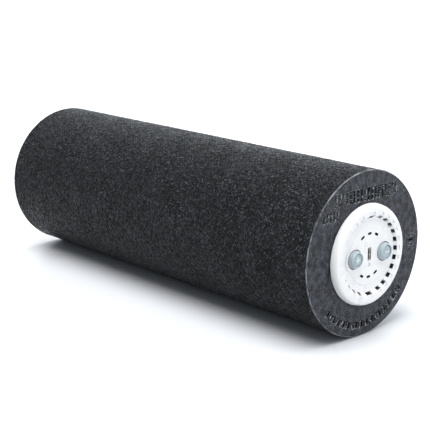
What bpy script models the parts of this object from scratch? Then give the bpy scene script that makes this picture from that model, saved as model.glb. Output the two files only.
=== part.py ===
"""A vibrating foam roller: a hollow foam cylinder with a rechargeable vibration core in its bore.

The roller lies on its side along X, with the control head at +X. The origin is on the roller's axis,
halfway along its overall length. Every length is in metres. A place along the roller is given as a
depth, measured from the foam's end face at the control head and growing towards the plain end, so a
negative depth stands proud of the foam.
"""

import math

import bmesh
import bpy
from mathutils import Matrix, Vector

# Driving dimensions
FOAM_LENGTH = 0.2925
FOAM_RADIUS = 0.050
BORE_RADIUS = 0.0272
GAP = 0.0003  # between neighbours that touch on the real roller
RUNNING_GAP = 0.00015  # round a piece that slides or turns

# Control head
PROUD = 0.0059  # how far the buttons stand out of the foam
DECK = 0.0031  # how far the flat centre of the cover stands out
DECK_THICKNESS = 0.0017
RIM = 0.0048  # how far the rim round the vents stands out
SKIN = 0.0002  # small step or bevel moulded into the cover
DECK_RADIUS = 0.0176  # of the raised middle of the deck
FLANK = (0.0226, 0.0236)  # radius at the foot and at the top of the vented flank
RIM_CREST = (0.0244, 0.0279)  # the rim is highest between these radii
FLANGE_RADIUS = 0.03045
SPIGOT_RADIUS = 0.0264
SPIGOT_WALL = 0.0011
SPIGOT_DEPTH = 0.008
BUTTON_SPREAD = 0.0129  # from the axis to each button's centre
BUTTON_RADIUS = 0.0055
BUTTON_FLANGE = 0.0069
BUTTON_FLOOR = 0.0004  # back of the flange at rest, inside the foam's end face
BUTTON_TRAVEL = 0.0008
VENT_INNER = 0.02245
VENT_OUTER = 0.02375
VENT_WIDTH = 0.0030
VENT_WIDE = 0.0050
VENT_PITCH = math.radians(13.85)
VENTS_EACH_WAY = 5  # regular vents on each side of the one level with a button
SLOT_RADIUS = 0.0130
SLOT_ANGLES = (62, 90, 118, -62, -90, -118)  # degrees from +Y
SLOT_SIZE = (0.0015, 0.0032)  # radial, tangential
PORT = (0.0026, 0.0075)  # charging socket, across Y and Z
PORT_CORNER = 0.0007
PORT_RISE = 0.0008  # charging socket above the axis
LIGHT_RADIUS = 0.00075
LIGHT_DROP = 0.0056  # charge light below the axis
HEAD_SCREW_RADIUS = 0.0170  # from the axis to each screw
PILOT_RADIUS = 0.0014  # of the hole a screw turns into
CLEARANCE_RADIUS = 0.0014  # of the hole a screw passes through
BOSS_RADIUS = 0.0026
BOARD_SCREW_OFFSET = 0.0138

# Layers behind the cover
BULKHEAD_DEPTH = 0.0020  # seat of the cover's screw bosses in the bulkhead
BULKHEAD_THICKNESS = 0.0012  # left behind those seats
SKIRT_END = 0.0160
BOARD_DEPTH = 0.0070
BOARD_THICKNESS = 0.0016
BOARD_RADIUS = 0.0224

# Core body
SHELL_RADIUS = SPIGOT_RADIUS
SHELL_WALL = 0.0020
SHELL_START = SPIGOT_DEPTH + GAP
SHELL_END = 0.2800
TAIL_END = 0.2835
SNAP_DEPTH = 0.0125
RING_DEPTHS = {"grip_ring_front": 0.045, "grip_ring_middle": 0.145, "grip_ring_rear": 0.245}
RING_WIDTH = 0.0080
RING_RADIUS = BORE_RADIUS - 0.0002
GROOVE = 0.0008
SHELL_SCREW_DEPTHS = {"front": 0.0240, "middle": 0.1180, "rear": 0.2520}
TAIL_SCREW_RADIUS = 0.0216

# Battery
CELL_RADIUS = 0.0092
CELL_LENGTH = 0.0650
CELL_SPREAD = 0.0102
CELL_DEPTH = 0.0355
TRAY_HALF = (0.0212, 0.0113)  # half width, height from the split

# Motor
CAN_START = 0.1600
CAN_LENGTH = 0.0500
CAN_RADIUS = 0.0180
CAN_WALL = 0.0015
SHAFT_RADIUS = 0.0025
SHAFT_START = 0.1370
SHAFT_END = 0.2330
BEARING_RADIUS = 0.0062
WEIGHT_RADIUS = 0.0155
WEIGHT_THICKNESS = 0.0120
WEIGHT_DEPTHS = {"weight_front": 0.1400, "weight_rear": 0.2180}
BEARINGS = {"bearing_front": (0.1560, 0.0050), "bearing_rear": (0.2080, 0.0025)}  # depth, width
MAGNET_SPAN = (0.1660, 0.2020)
MAGNET_INNER = 0.0135
MAGNET_GAP = 0.0090  # between the two magnets' edges
STACK_SPAN = (0.1720, 0.1980)
STACK_RADIUS = 0.0128
COMMUTATOR_SPAN = (0.1635, 0.1710)
COMMUTATOR_RADIUS = 0.0042
POLES = 5
MOUNT_WIDTH = 0.0080
MOUNT_DEPTHS = {"motor_mount_front": 0.1640, "motor_mount_rear": 0.1980}
LEAD_RADIUS = 0.0008

# Worked out from the above
NEAR = (FOAM_LENGTH - PROUD) / 2
FAR = NEAR - FOAM_LENGTH
SHELL_INNER = SHELL_RADIUS - SHELL_WALL
PLUS_Y, MINUS_Y = -BUTTON_SPREAD, BUTTON_SPREAD

# Steps round a turned piece
FOAM_SIDES = 64
COVER_SIDES = 52
LARGE, MEDIUM, SMALL, TINY = 36, 24, 14, 10
HEXAGON = 6

# Local Z runs along the roller, with local X and Y across it as Y and Z.
ALONG_ROLLER = Matrix(((0, 0, 1), (1, 0, 0), (0, 1, 0))).to_euler()

MATERIALS = {
    "foam": ((0.035, 0.037, 0.043), 0.9, 0.0),
    "white_plastic": ((0.86, 0.88, 0.89), 0.35, 0.0),
    "black_plastic": ((0.02, 0.02, 0.022), 0.55, 0.0),
    "button_silicone": ((0.42, 0.50, 0.56), 0.45, 0.0),
    "grip_silicone": ((0.10, 0.11, 0.12), 0.7, 0.0),
    "clear_lens": ((0.62, 0.65, 0.67), 0.25, 0.0),
    "circuit_board": ((0.02, 0.12, 0.06), 0.5, 0.0),
    "steel": ((0.56, 0.57, 0.58), 0.35, 1.0),
    "nickel": ((0.68, 0.66, 0.62), 0.3, 1.0),
    "gold": ((0.83, 0.60, 0.25), 0.3, 1.0),
    "copper": ((0.72, 0.38, 0.22), 0.4, 1.0),
    "brass": ((0.70, 0.52, 0.25), 0.35, 1.0),
    "ferrite": ((0.06, 0.06, 0.065), 0.6, 0.0),
    "cell_wrap": ((0.05, 0.20, 0.42), 0.4, 0.0),
    "red_wire": ((0.55, 0.03, 0.03), 0.5, 0.0),
    "black_wire": ((0.02, 0.02, 0.02), 0.5, 0.0),
}


def clear_scene():
    for thing in list(bpy.data.objects):
        bpy.data.objects.remove(thing)


def new_collection(name):
    collection = bpy.data.collections.new(name)
    bpy.context.scene.collection.children.link(collection)
    return collection


def make_material(name):
    color, roughness, metallic = MATERIALS[name]
    material = bpy.data.materials.new(name)
    material.use_nodes = True
    shader = material.node_tree.nodes["Principled BSDF"]
    shader.inputs["Base Color"].default_value = (*color, 1)
    shader.inputs["Roughness"].default_value = roughness
    shader.inputs["Metallic"].default_value = metallic
    return material


def depth(distance, y=0.0, z=0.0):
    """The point a distance into the roller from the control head's end face."""
    return Vector((NEAR - distance, y, z))


def facing(direction):
    """The rotation that turns local Z to a direction."""
    return Vector((0, 0, 1)).rotation_difference(Vector(direction)).to_euler()


def place(name, data, material, base, rotation):
    """A new object: one of the roller's pieces, or with no material a hidden helper."""
    piece = bpy.data.objects.new(name, data)
    piece.location = base
    piece.rotation_euler = rotation
    if material is None:
        helpers.objects.link(piece)
        piece.hide_render = True
        piece.display_type = "WIRE"
    else:
        roller.objects.link(piece)
        if material not in made:
            made[material] = make_material(material)
        data.materials.append(made[material])
    return piece


# Outlines. Each is a list of points in a plane.


def arc(centre, radius, start, end, steps):
    """Points of a circular arc, with its angles in degrees."""
    angles = [math.radians(start + (end - start) * i / steps) for i in range(steps + 1)]
    return [(centre[0] + radius * math.cos(a), centre[1] + radius * math.sin(a)) for a in angles]


def rectangle(width, height, centre=(0, 0)):
    return [
        (centre[0] + x * width / 2, centre[1] + y * height / 2)
        for x, y in ((-1, -1), (1, -1), (1, 1), (-1, 1))
    ]


def rounded_rectangle(width, height, corner, steps=3):
    points = []
    for turn, (x, y) in enumerate(((1, 1), (-1, 1), (-1, -1), (1, -1))):
        middle = (x * (width / 2 - corner), y * (height / 2 - corner))
        points += arc(middle, corner, 90 * turn, 90 * turn + 90, steps)
    return points


# Ways to make a solid


def wound(profile):
    """The profile in the order that turns its faces outward: down its outer side."""
    loop = list(profile)
    area = sum(
        loop[i - 1][0] * loop[i][1] - loop[i][0] * loop[i - 1][1] for i in range(len(loop))
    )
    return loop if area > 0 else loop[::-1]


def turned(name, material, base, profile, steps=MEDIUM, rotation=ALONG_ROLLER, phase=0.0):
    """A solid turned about local Z, from points of (distance along the axis, radius)."""
    points = wound(profile)
    ring = min(points[0][1], points[-1][1]) > 0
    mesh = bpy.data.meshes.new(name)
    corners = [(r * math.cos(phase), r * math.sin(phase), along) for along, r in points]
    edges = [(i, i + 1) for i in range(len(points) - 1)]
    if ring:
        edges.append((len(points) - 1, 0))
    mesh.from_pydata(corners, edges, [])
    piece = place(name, mesh, material, base, rotation)
    turn = piece.modifiers.new("Turn", "SCREW")
    turn.steps = turn.render_steps = steps
    turn.use_merge_vertices = True
    turn.merge_threshold = 0.00001
    turn.use_smooth_shade = False
    return piece


def plate(name, material, base, thickness, outline, rotation=ALONG_ROLLER):
    """A flat piece from its outline, centred on its base."""
    curve = bpy.data.curves.new(name, "CURVE")
    curve.dimensions = "2D"
    curve.fill_mode = "BOTH"
    curve.extrude = thickness / 2
    spline = curve.splines.new("POLY")
    spline.points.add(len(outline) - 1)
    for point, (x, y) in zip(spline.points, outline):
        point.co = (x, y, 0, 1)
    spline.use_cyclic_u = True
    return place(name, curve, material, base, rotation)


def as_mesh(piece):
    """The same piece as a welded mesh, which a Boolean can work on."""
    bpy.context.view_layer.update()
    graph = bpy.context.evaluated_depsgraph_get()
    name, matrix = piece.name, piece.matrix_world.copy()
    mesh = bpy.data.meshes.new_from_object(piece.evaluated_get(graph))
    shape = bmesh.new()
    shape.from_mesh(mesh)
    bmesh.ops.remove_doubles(shape, verts=shape.verts, dist=0.000001)
    shape.to_mesh(mesh)
    shape.free()
    collection = piece.users_collection[0]
    hidden, display = piece.hide_render, piece.display_type
    bpy.data.objects.remove(piece)
    solid = bpy.data.objects.new(name, mesh)
    solid.matrix_world = matrix
    solid.hide_render, solid.display_type = hidden, display
    collection.objects.link(solid)
    return solid


def helper_shapes(name, add_shapes):
    """A hidden helper whose separate shapes are added to one mesh by a function."""
    shape = bmesh.new()
    add_shapes(shape)
    mesh = bpy.data.meshes.new(name)
    shape.to_mesh(mesh)
    shape.free()
    return place(name, mesh, None, (0, 0, 0), (0, 0, 0))


def add_box(shape, centre, size, turn=0.0):
    """A box, turned about the roller's axis after it is placed."""
    scaled = Matrix.Translation(centre) @ Matrix.Diagonal((*size, 1))
    bmesh.ops.create_cube(shape, size=1, matrix=Matrix.Rotation(turn, 4, "X") @ scaled)


def add_cylinder(shape, start, end, radius, steps=SMALL):
    start, end = Vector(start), Vector(end)
    turn = Vector((0, 0, 1)).rotation_difference(end - start).to_matrix().to_4x4()
    bmesh.ops.create_cone(
        shape,
        cap_ends=True,
        segments=steps,
        radius1=radius,
        radius2=radius,
        depth=(end - start).length,
        matrix=Matrix.Translation((start + end) / 2) @ turn,
    )


def combine(piece, helper, operation):
    boolean = piece.modifiers.new(helper.name, "BOOLEAN")
    boolean.object = helper
    boolean.operation = operation


def screw(name, base, direction, length, head=0.0024, shank=0.0011):
    """A pan-head screw with a hex socket. Its head's underside is at the base."""
    height = 0.0016
    profile = [(height, 0), (height, head * 0.8), (height * 0.6, head), (0, head)]
    profile += [(0, shank), (-length, shank), (-length - shank * 0.6, 0)]
    piece = turned(name, "steel", base, profile, TINY, facing(direction))
    outward = Vector(direction).normalized()
    floor, mouth = Vector(base) + outward * height * 0.35, Vector(base) + outward * height * 2

    def socket(shape):
        add_cylinder(shape, floor, mouth, head * 0.42, HEXAGON)

    combine(piece, helper_shapes(name + "_socket", socket), "DIFFERENCE")
    return piece


# The foam


def make_foam_sleeve():
    edge = 0.0010
    profile = arc((FOAM_LENGTH - edge, FOAM_RADIUS - edge), edge, 0, 90, 2)
    profile += arc((edge, FOAM_RADIUS - edge), edge, 90, 180, 2)
    profile += [(0, BORE_RADIUS), (FOAM_LENGTH, BORE_RADIUS)]
    # Half a step round puts a flat facet underneath, which the roller lies on.
    turned("foam_sleeve", "foam", (FAR, 0, 0), profile, FOAM_SIDES, phase=math.pi / FOAM_SIDES)


# The control head


def make_head_cover():
    """White dish: a domed rim on the foam, a steep vented flank inside it and a flat deck."""
    underside = DECK - DECK_THICKNESS
    inner = SPIGOT_RADIUS - SPIGOT_WALL
    profile = [
        (DECK, 0),
        (DECK, DECK_RADIUS),
        (DECK - SKIN, DECK_RADIUS + 0.0003),
        (DECK - SKIN, FLANK[0]),
        (RIM - SKIN, FLANK[1]),
        (RIM, RIM_CREST[0]),
        (RIM, RIM_CREST[1]),
        (RIM - 0.0005, FLANGE_RADIUS - 0.00105),
        (0.0020, FLANGE_RADIUS - 0.00015),
        (GAP, FLANGE_RADIUS),
        (GAP, SPIGOT_RADIUS),
        (-SPIGOT_DEPTH, SPIGOT_RADIUS),
        (-SPIGOT_DEPTH, inner),
        (0.0030, inner),
        (underside, FLANK[0] + 0.0001),
        (underside, 0),
    ]
    cover = turned("head_cover", "white_plastic", depth(0), profile, COVER_SIDES)

    def bosses(shape):
        for side in (1, -1):
            z = side * HEAD_SCREW_RADIUS
            end = depth(BULKHEAD_DEPTH - GAP, z=z)
            add_cylinder(shape, depth(-DECK + 0.0008, z=z), end, BOSS_RADIUS)

    def openings(shape):
        for level in (0, math.pi):
            for step in range(-VENTS_EACH_WAY, VENTS_EACH_WAY + 1):
                add_vent(shape, level + step * VENT_PITCH, VENT_WIDTH)
        for top in (math.pi / 2, -math.pi / 2):
            add_vent(shape, top, VENT_WIDE)
        for angle in SLOT_ANGLES:
            size = (2 * DECK, *SLOT_SIZE)
            add_box(shape, depth(-DECK, y=SLOT_RADIUS), size, math.radians(angle))
        for y in (PLUS_Y, MINUS_Y):
            hole = BUTTON_RADIUS + GAP
            add_cylinder(shape, depth(-2 * DECK, y=y), depth(0, y=y), hole, MEDIUM)
        slit = (2 * DECK, PORT[0] + 2 * GAP, PORT[1] + 2 * GAP)
        add_box(shape, depth(-DECK, z=PORT_RISE), slit)
        light = LIGHT_RADIUS + GAP
        add_cylinder(shape, depth(-2 * DECK, z=-LIGHT_DROP), depth(0, z=-LIGHT_DROP), light)
        for side in (1, -1):
            z = side * HEAD_SCREW_RADIUS
            add_cylinder(shape, depth(-0.0010, z=z), depth(0.0050, z=z), PILOT_RADIUS)

    combine(cover, helper_shapes("cover_bosses", bosses), "UNION")
    combine(cover, helper_shapes("cover_openings", openings), "DIFFERENCE")


def add_vent(shape, angle, width):
    """A box through the flank, from below the cover's underside to above its rim."""
    low, high = 0.0010, RIM + 0.0012
    size = (high - low, VENT_OUTER - VENT_INNER, width)
    add_box(shape, depth(-(low + high) / 2, y=(VENT_INNER + VENT_OUTER) / 2), size, angle)


def make_front_bulkhead():
    """Black cup that fills the cover's back, with pockets for the buttons and the screw bosses.

    It carries the circuit board and snaps into the core's shells.
    """
    wide, narrow, inner = 0.0250, SHELL_INNER - GAP, BOARD_RADIUS + 0.0004
    back = -BULKHEAD_DEPTH - BULKHEAD_THICKNESS
    front = DECK - DECK_THICKNESS - GAP
    bead = 0.0005
    profile = [
        (front, 0),
        (front, 0.0223),
        (front + 0.0008, 0.0245),
        (front + 0.0008, wide),
        (-SPIGOT_DEPTH + GAP, wide),
        (-SPIGOT_DEPTH + GAP, narrow),
        (-SNAP_DEPTH + bead, narrow),
        (-SNAP_DEPTH, narrow + bead),
        (-SNAP_DEPTH - bead, narrow),
        (-SKIRT_END, narrow),
        (-SKIRT_END, inner),
        (back, inner),
        (back, 0),
    ]
    bulkhead = turned("front_bulkhead", "black_plastic", depth(0), profile, LARGE)
    plate_end = BULKHEAD_DEPTH + BULKHEAD_THICKNESS

    def posts(shape):
        for side in (1, -1):
            offset = side * BOARD_SCREW_OFFSET
            start, end = plate_end - 0.0005, BOARD_DEPTH - GAP
            add_cylinder(shape, depth(start, offset, offset), depth(end, offset, offset), 0.0019)

    def pockets(shape):
        floor = BUTTON_FLOOR + BUTTON_TRAVEL + GAP
        for y in (PLUS_Y, MINUS_Y):
            add_cylinder(shape, depth(-DECK, y=y), depth(floor, y=y), BUTTON_FLANGE + GAP, MEDIUM)
        for side in (1, -1):
            z = side * HEAD_SCREW_RADIUS
            add_cylinder(shape, depth(-DECK, z=z), depth(BULKHEAD_DEPTH, z=z), BOSS_RADIUS + GAP)

    def openings(shape):
        for y in (PLUS_Y, MINUS_Y):
            add_cylinder(shape, depth(0, y=y), depth(0.006, y=y), 0.0026)
        add_box(shape, depth(0, z=PORT_RISE), (0.012, PORT[0] + 2 * GAP, PORT[1] + 2 * GAP))
        light = LIGHT_RADIUS + GAP
        add_cylinder(shape, depth(-DECK, z=-LIGHT_DROP), depth(0.006, z=-LIGHT_DROP), light)
        for side in (1, -1):
            z = side * HEAD_SCREW_RADIUS
            add_cylinder(shape, depth(0, z=z), depth(0.006, z=z), CLEARANCE_RADIUS)
            offset = side * BOARD_SCREW_OFFSET
            start, end = plate_end + 0.0005, BOARD_DEPTH + 0.001
            add_cylinder(shape, depth(start, offset, offset), depth(end, offset, offset), 0.0011, TINY)

    combine(bulkhead, helper_shapes("bulkhead_posts", posts), "UNION")
    combine(bulkhead, helper_shapes("bulkhead_pockets", pockets), "DIFFERENCE")
    combine(bulkhead, helper_shapes("bulkhead_openings", openings), "DIFFERENCE")


def make_buttons():
    """Silicone buttons with a raised rim, each over the plunger of its switch."""
    flange_top = DECK - DECK_THICKNESS - 0.0004
    post_end = BULKHEAD_DEPTH + 0.0002
    profile = [
        (PROUD - 0.0005, 0),
        (PROUD - 0.0005, 0.0036),
        (PROUD - 0.0001, 0.0040),
        (PROUD, 0.0043),
        (PROUD - 0.0003, 0.00475),
        (DECK + 0.0007, BUTTON_RADIUS - 0.0002),
        (DECK + 0.0003, BUTTON_RADIUS),
        (flange_top, BUTTON_RADIUS),
        (flange_top, BUTTON_FLANGE),
        (-BUTTON_FLOOR, BUTTON_FLANGE),
        (-BUTTON_FLOOR, 0.0018),
        (-post_end, 0.0018),
        (-post_end, 0),
    ]
    for name, y in (("plus_button", PLUS_Y), ("minus_button", MINUS_Y)):
        turned(name, "button_silicone", depth(0, y=y), profile, MEDIUM)


def make_switches():
    """A push switch on the board under each button, with its plunger in its own body's bore."""
    height, side, bore = 0.0034, 0.0062, 0.0018
    body_middle = BOARD_DEPTH - GAP - height / 2
    plunger_top = BULKHEAD_DEPTH + 0.0002 + GAP
    plunger_length = 0.0026
    for name, y in (("plus_switch", PLUS_Y), ("minus_switch", MINUS_Y)):
        middle = depth(body_middle, y=y)
        body = as_mesh(plate(name, "black_plastic", middle, height, rectangle(side, side)))

        def plunger_bore(shape):
            add_cylinder(shape, depth(0, y=y), depth(BOARD_DEPTH, y=y), bore)

        combine(body, helper_shapes(name + "_bore", plunger_bore), "DIFFERENCE")
        radius = bore - RUNNING_GAP
        profile = [(0, 0), (0, radius), (-plunger_length, radius), (-plunger_length, 0)]
        turned(name + "_plunger", "white_plastic", depth(plunger_top, y=y), profile, SMALL)


def make_charging_port():
    """Metal socket with its tongue and contacts, standing on the board behind its slit."""
    front, wall = -DECK + 0.0002, 0.0003
    length = BOARD_DEPTH - GAP - front
    width, height = PORT
    middle = depth(front + length / 2, z=PORT_RISE)
    outline = rounded_rectangle(width, height, PORT_CORNER)
    shell = as_mesh(plate("port_shell", "nickel", middle, length, outline))
    inside = rounded_rectangle(width - 2 * wall, height - 2 * wall, PORT_CORNER - wall)
    cavity = as_mesh(plate("port_cavity", None, middle, 2 * length, inside))
    combine(shell, cavity, "DIFFERENCE")
    recess, offset, tongue = 0.0010, -0.0004, 0.0006
    tongue_length = length - recess
    middle = depth(front + recess + tongue_length / 2, offset, PORT_RISE)
    plate("port_tongue", "black_plastic", middle, tongue_length, rectangle(tongue, height - 0.0022))
    make_port_contacts(front + recess + 0.0004, offset + tongue / 2 + 0.0001)


def make_port_contacts(start, y):
    """Five gold fingers on a common foot, lying along the tongue."""
    count, pitch, width, length, thickness = 5, 0.00065, 0.0004, 0.0050, 0.00025
    outline = [(0, -count * pitch / 2)]
    for finger in range(count):
        centre = (finger - (count - 1) / 2) * pitch
        outline += [(length * 0.2, centre - width / 2), (length, centre - width / 2)]
        outline += [(length, centre + width / 2), (length * 0.2, centre + width / 2)]
    outline.append((0, count * pitch / 2))
    # Local X points out of the socket and local Y up, so the fingers lie flat against the tongue.
    flat = Matrix(((1, 0, 0), (0, 0, -1), (0, 1, 0))).to_euler()
    base = depth(start + length, y + thickness / 2, PORT_RISE)
    plate("port_contacts", "gold", base, thickness, outline, flat)


def make_charge_light():
    """Clear light pipe from the board to the deck, below the charging port."""
    end = BOARD_DEPTH - GAP
    profile = [(DECK, 0), (DECK, LIGHT_RADIUS), (-end, LIGHT_RADIUS), (-end, 0)]
    turned("charge_light", "clear_lens", depth(0, z=-LIGHT_DROP), profile, SMALL)


def make_control_board():
    offset, end = BOARD_SCREW_OFFSET, -BOARD_DEPTH - BOARD_THICKNESS
    profile = [(-BOARD_DEPTH, 0), (-BOARD_DEPTH, BOARD_RADIUS), (end, BOARD_RADIUS), (end, 0)]
    board = turned("control_board", "circuit_board", depth(0), profile, LARGE)

    def holes(shape):
        for side in (1, -1):
            y, z = side * offset, side * offset
            start, end = depth(0, y, z), depth(2 * BOARD_DEPTH, y, z)
            add_cylinder(shape, start, end, CLEARANCE_RADIUS, TINY)

    combine(board, helper_shapes("board_holes", holes), "DIFFERENCE")
    back = BOARD_DEPTH + BOARD_THICKNESS + GAP
    for name, side in (("board_screw_upper", 1), ("board_screw_lower", -1)):
        screw(name, depth(back, side * offset, side * offset), (-1, 0, 0), 0.0042, 0.0019, 0.0008)


def make_head_screws():
    back = BULKHEAD_DEPTH + BULKHEAD_THICKNESS + GAP
    for name, side in (("head_screw_upper", 1), ("head_screw_lower", -1)):
        screw(name, depth(back, z=side * HEAD_SCREW_RADIUS), (-1, 0, 0), 0.0036, 0.0022, 0.0010)


# The core's casing


def shell_profile():
    """The casing's wall: grooves outside for the grip rings, and ribs inside round the motor mounts."""
    outer = [(-SHELL_START, SHELL_RADIUS)]
    for start in sorted(RING_DEPTHS.values()):
        end, floor = start + RING_WIDTH, SHELL_RADIUS - GROOVE
        outer += [(-start, SHELL_RADIUS), (-start, floor), (-end, floor), (-end, SHELL_RADIUS)]
    outer.append((-SHELL_END, SHELL_RADIUS))
    inner = [(-SHELL_START, SHELL_INNER)]
    groove = 0.0006
    inner += [
        (-SNAP_DEPTH + groove, SHELL_INNER),
        (-SNAP_DEPTH, SHELL_INNER + groove),
        (-SNAP_DEPTH - groove, SHELL_INNER),
    ]
    rib, height = 0.0020, 0.0015
    for start in sorted(MOUNT_DEPTHS.values()):
        for edge in (start - GAP - rib, start + MOUNT_WIDTH + GAP):
            inner += [(-edge, SHELL_INNER), (-edge, SHELL_INNER - height)]
            inner += [(-edge - rib, SHELL_INNER - height), (-edge - rib, SHELL_INNER)]
    inner.append((-SHELL_END, SHELL_INNER))
    return outer + inner[::-1]


def make_half_shell(name, side):
    """One half of the casing, with side 1 above the split and -1 below it."""
    shell = turned(name, "white_plastic", depth(0), shell_profile(), LARGE)
    split, reach = GAP / 2, 0.025
    bottom = side < 0

    def other_half(shape):
        size = (FOAM_LENGTH * 1.2, 3 * SHELL_RADIUS, 2 * SHELL_RADIUS)
        add_box(shape, (0, 0, side * (split - SHELL_RADIUS)), size)

    def bosses(shape):
        for x in SHELL_SCREW_DEPTHS.values():
            add_cylinder(shape, depth(x, z=side * split), depth(x, z=side * reach), 0.0032)
        z = side * TAIL_SCREW_RADIUS
        add_cylinder(shape, depth(SHELL_END - 0.020, z=z), depth(SHELL_END - 0.005, z=z), 0.0032)

    def holes(shape):
        low, high = (-0.024, 0.002) if bottom else (-0.002, 0.012)
        for x in SHELL_SCREW_DEPTHS.values():
            add_cylinder(shape, depth(x, z=low), depth(x, z=high), CLEARANCE_RADIUS)
        z = side * TAIL_SCREW_RADIUS
        add_cylinder(shape, depth(SHELL_END - 0.016, z=z), depth(SHELL_END, z=z), PILOT_RADIUS)

    def counterbores(shape):
        for x in SHELL_SCREW_DEPTHS.values():
            add_cylinder(shape, depth(x, z=-0.030), depth(x, z=-0.020), 0.0027)

    combine(shell, helper_shapes(name + "_other_half", other_half), "DIFFERENCE")
    combine(shell, helper_shapes(name + "_bosses", bosses), "UNION")
    combine(shell, helper_shapes(name + "_holes", holes), "DIFFERENCE")
    if bottom:
        combine(shell, helper_shapes(name + "_counterbores", counterbores), "DIFFERENCE")


def make_shell_screws():
    for place_name, x in SHELL_SCREW_DEPTHS.items():
        base = depth(x, z=-0.020 - GAP)
        screw("shell_screw_" + place_name, base, (0, 0, -1), 0.030, 0.0024, 0.0011)


def make_tail_cap():
    """Plug that closes the core at the plain end of the roller."""
    seat, spigot, wall = -SHELL_END - GAP, SHELL_INNER - GAP, 0.0015
    lip = 0.0030
    profile = [
        (seat - 0.0006, 0),
        (seat - 0.0006, spigot - wall),
        (seat + lip, spigot - wall),
        (seat + lip, spigot),
        (seat, spigot),
        (seat, SHELL_RADIUS),
        (-TAIL_END + 0.0008, SHELL_RADIUS),
        (-TAIL_END, SHELL_RADIUS - 0.0008),
        (-TAIL_END, 0),
    ]
    cap = turned("tail_cap", "white_plastic", depth(0), profile, LARGE)

    counterbore = TAIL_END - 0.0019

    def drilled(radius, start):
        def holes(shape):
            for side in (1, -1):
                z = side * TAIL_SCREW_RADIUS
                add_cylinder(shape, depth(start, z=z), depth(TAIL_END + 0.001, z=z), radius)

        return holes

    holes = helper_shapes("tail_cap_holes", drilled(0.0014, SHELL_END - 0.005))
    counterbores = helper_shapes("tail_cap_counterbores", drilled(0.0027, counterbore))
    combine(cap, holes, "DIFFERENCE")
    combine(cap, counterbores, "DIFFERENCE")
    seat_depth = counterbore + GAP
    for name, side in (("tail_screw_upper", 1), ("tail_screw_lower", -1)):
        base = depth(seat_depth, z=side * TAIL_SCREW_RADIUS)
        screw(name, base, (-1, 0, 0), 0.0110, 0.0023, 0.0011)


def make_grip_rings():
    """Silicone bands that grip the foam's bore. Each sits in a groove of the casing."""
    inner = SHELL_RADIUS - GROOVE + GAP
    for name, start in RING_DEPTHS.items():
        head, tail = -start - GAP, -start - RING_WIDTH + GAP
        crown = RING_RADIUS - 0.0004
        profile = [
            (head, inner),
            (head, crown),
            ((2 * head + tail) / 3, RING_RADIUS),
            ((head + 2 * tail) / 3, RING_RADIUS),
            (tail, crown),
            (tail, inner),
        ]
        turned(name, "grip_silicone", depth(0), profile, LARGE)


# The battery


def make_cells():
    """Two round cells side by side, one with its button end at each end of the pack."""
    button, step = 0.0040, 0.0010
    profile = [
        (0, 0),
        (0, button),
        (-step, button),
        (-step, CELL_RADIUS - 0.0007),
        (-step - 0.0007, CELL_RADIUS),
        (-CELL_LENGTH, CELL_RADIUS),
        (-CELL_LENGTH, 0),
    ]
    start = depth(CELL_DEPTH, y=-CELL_SPREAD)
    turned("battery_cell_left", "cell_wrap", start, profile, MEDIUM)
    end = depth(CELL_DEPTH + CELL_LENGTH, y=CELL_SPREAD)
    turned("battery_cell_right", "cell_wrap", end, profile, MEDIUM, facing((-1, 0, 0)))


def make_battery_trays():
    """Clamshell round the cells: a block on each side of the split, with a trough for each cell."""
    length = CELL_LENGTH - 0.0040
    middle = CELL_DEPTH + CELL_LENGTH / 2
    width, height = TRAY_HALF
    radius = CELL_RADIUS + GAP

    def troughs(shape):
        for y in (CELL_SPREAD, -CELL_SPREAD):
            start, end = middle - CELL_LENGTH, middle + CELL_LENGTH
            add_cylinder(shape, depth(start, y=y), depth(end, y=y), radius, MEDIUM)

    cutter = helper_shapes("cell_troughs", troughs)
    for name, side in (("battery_tray_upper", 1), ("battery_tray_lower", -1)):
        low, high = GAP / 2, height
        outline = rectangle(2 * width, high - low, (0, side * (low + high) / 2))
        tray = as_mesh(plate(name, "black_plastic", depth(middle), length, outline))
        combine(tray, cutter, "DIFFERENCE")


def make_cell_links():
    """Nickel strips: one joins the cells at the back, and two take the leads at the front."""
    thickness, height = 0.0004, 0.0060
    back = CELL_DEPTH + CELL_LENGTH + GAP + thickness / 2
    plate("cell_link", "nickel", depth(back), thickness, rectangle(0.0300, height))
    front = CELL_DEPTH - GAP - thickness / 2
    for name, y in (("cell_tab_left", -CELL_SPREAD), ("cell_tab_right", CELL_SPREAD)):
        plate(name, "nickel", depth(front, y=y), thickness, rectangle(0.0080, height))


# The motor


def make_motor_case():
    """Drawn steel can, closed at the back, with a moulded cap at the front."""
    inner, hub = CAN_RADIUS - CAN_WALL, BEARING_RADIUS + RUNNING_GAP
    can = [
        (-CAN_START, inner),
        (-CAN_START, CAN_RADIUS),
        (-CAN_START - CAN_LENGTH, CAN_RADIUS),
        (-CAN_START - CAN_LENGTH, hub),
        (-CAN_START - CAN_LENGTH + CAN_WALL, hub),
        (-CAN_START - CAN_LENGTH + CAN_WALL, inner),
    ]
    turned("motor_can", "steel", depth(0), can, LARGE)
    face = CAN_START - 0.0035
    cap = [
        (-face, hub),
        (-face, CAN_RADIUS - 0.0008),
        (-face - 0.0008, CAN_RADIUS),
        (-CAN_START + GAP, CAN_RADIUS),
        (-CAN_START + GAP, inner - GAP),
        (-CAN_START - 0.0020, inner - GAP),
        (-CAN_START - 0.0020, hub),
    ]
    turned("motor_end_cap", "black_plastic", depth(0), cap, LARGE)


def make_bearings():
    bore = SHAFT_RADIUS + RUNNING_GAP
    for name, (start, width) in BEARINGS.items():
        profile = [
            (-start, bore),
            (-start, BEARING_RADIUS),
            (-start - width, BEARING_RADIUS),
            (-start - width, bore),
        ]
        turned(name, "brass", depth(0), profile, MEDIUM)


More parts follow.
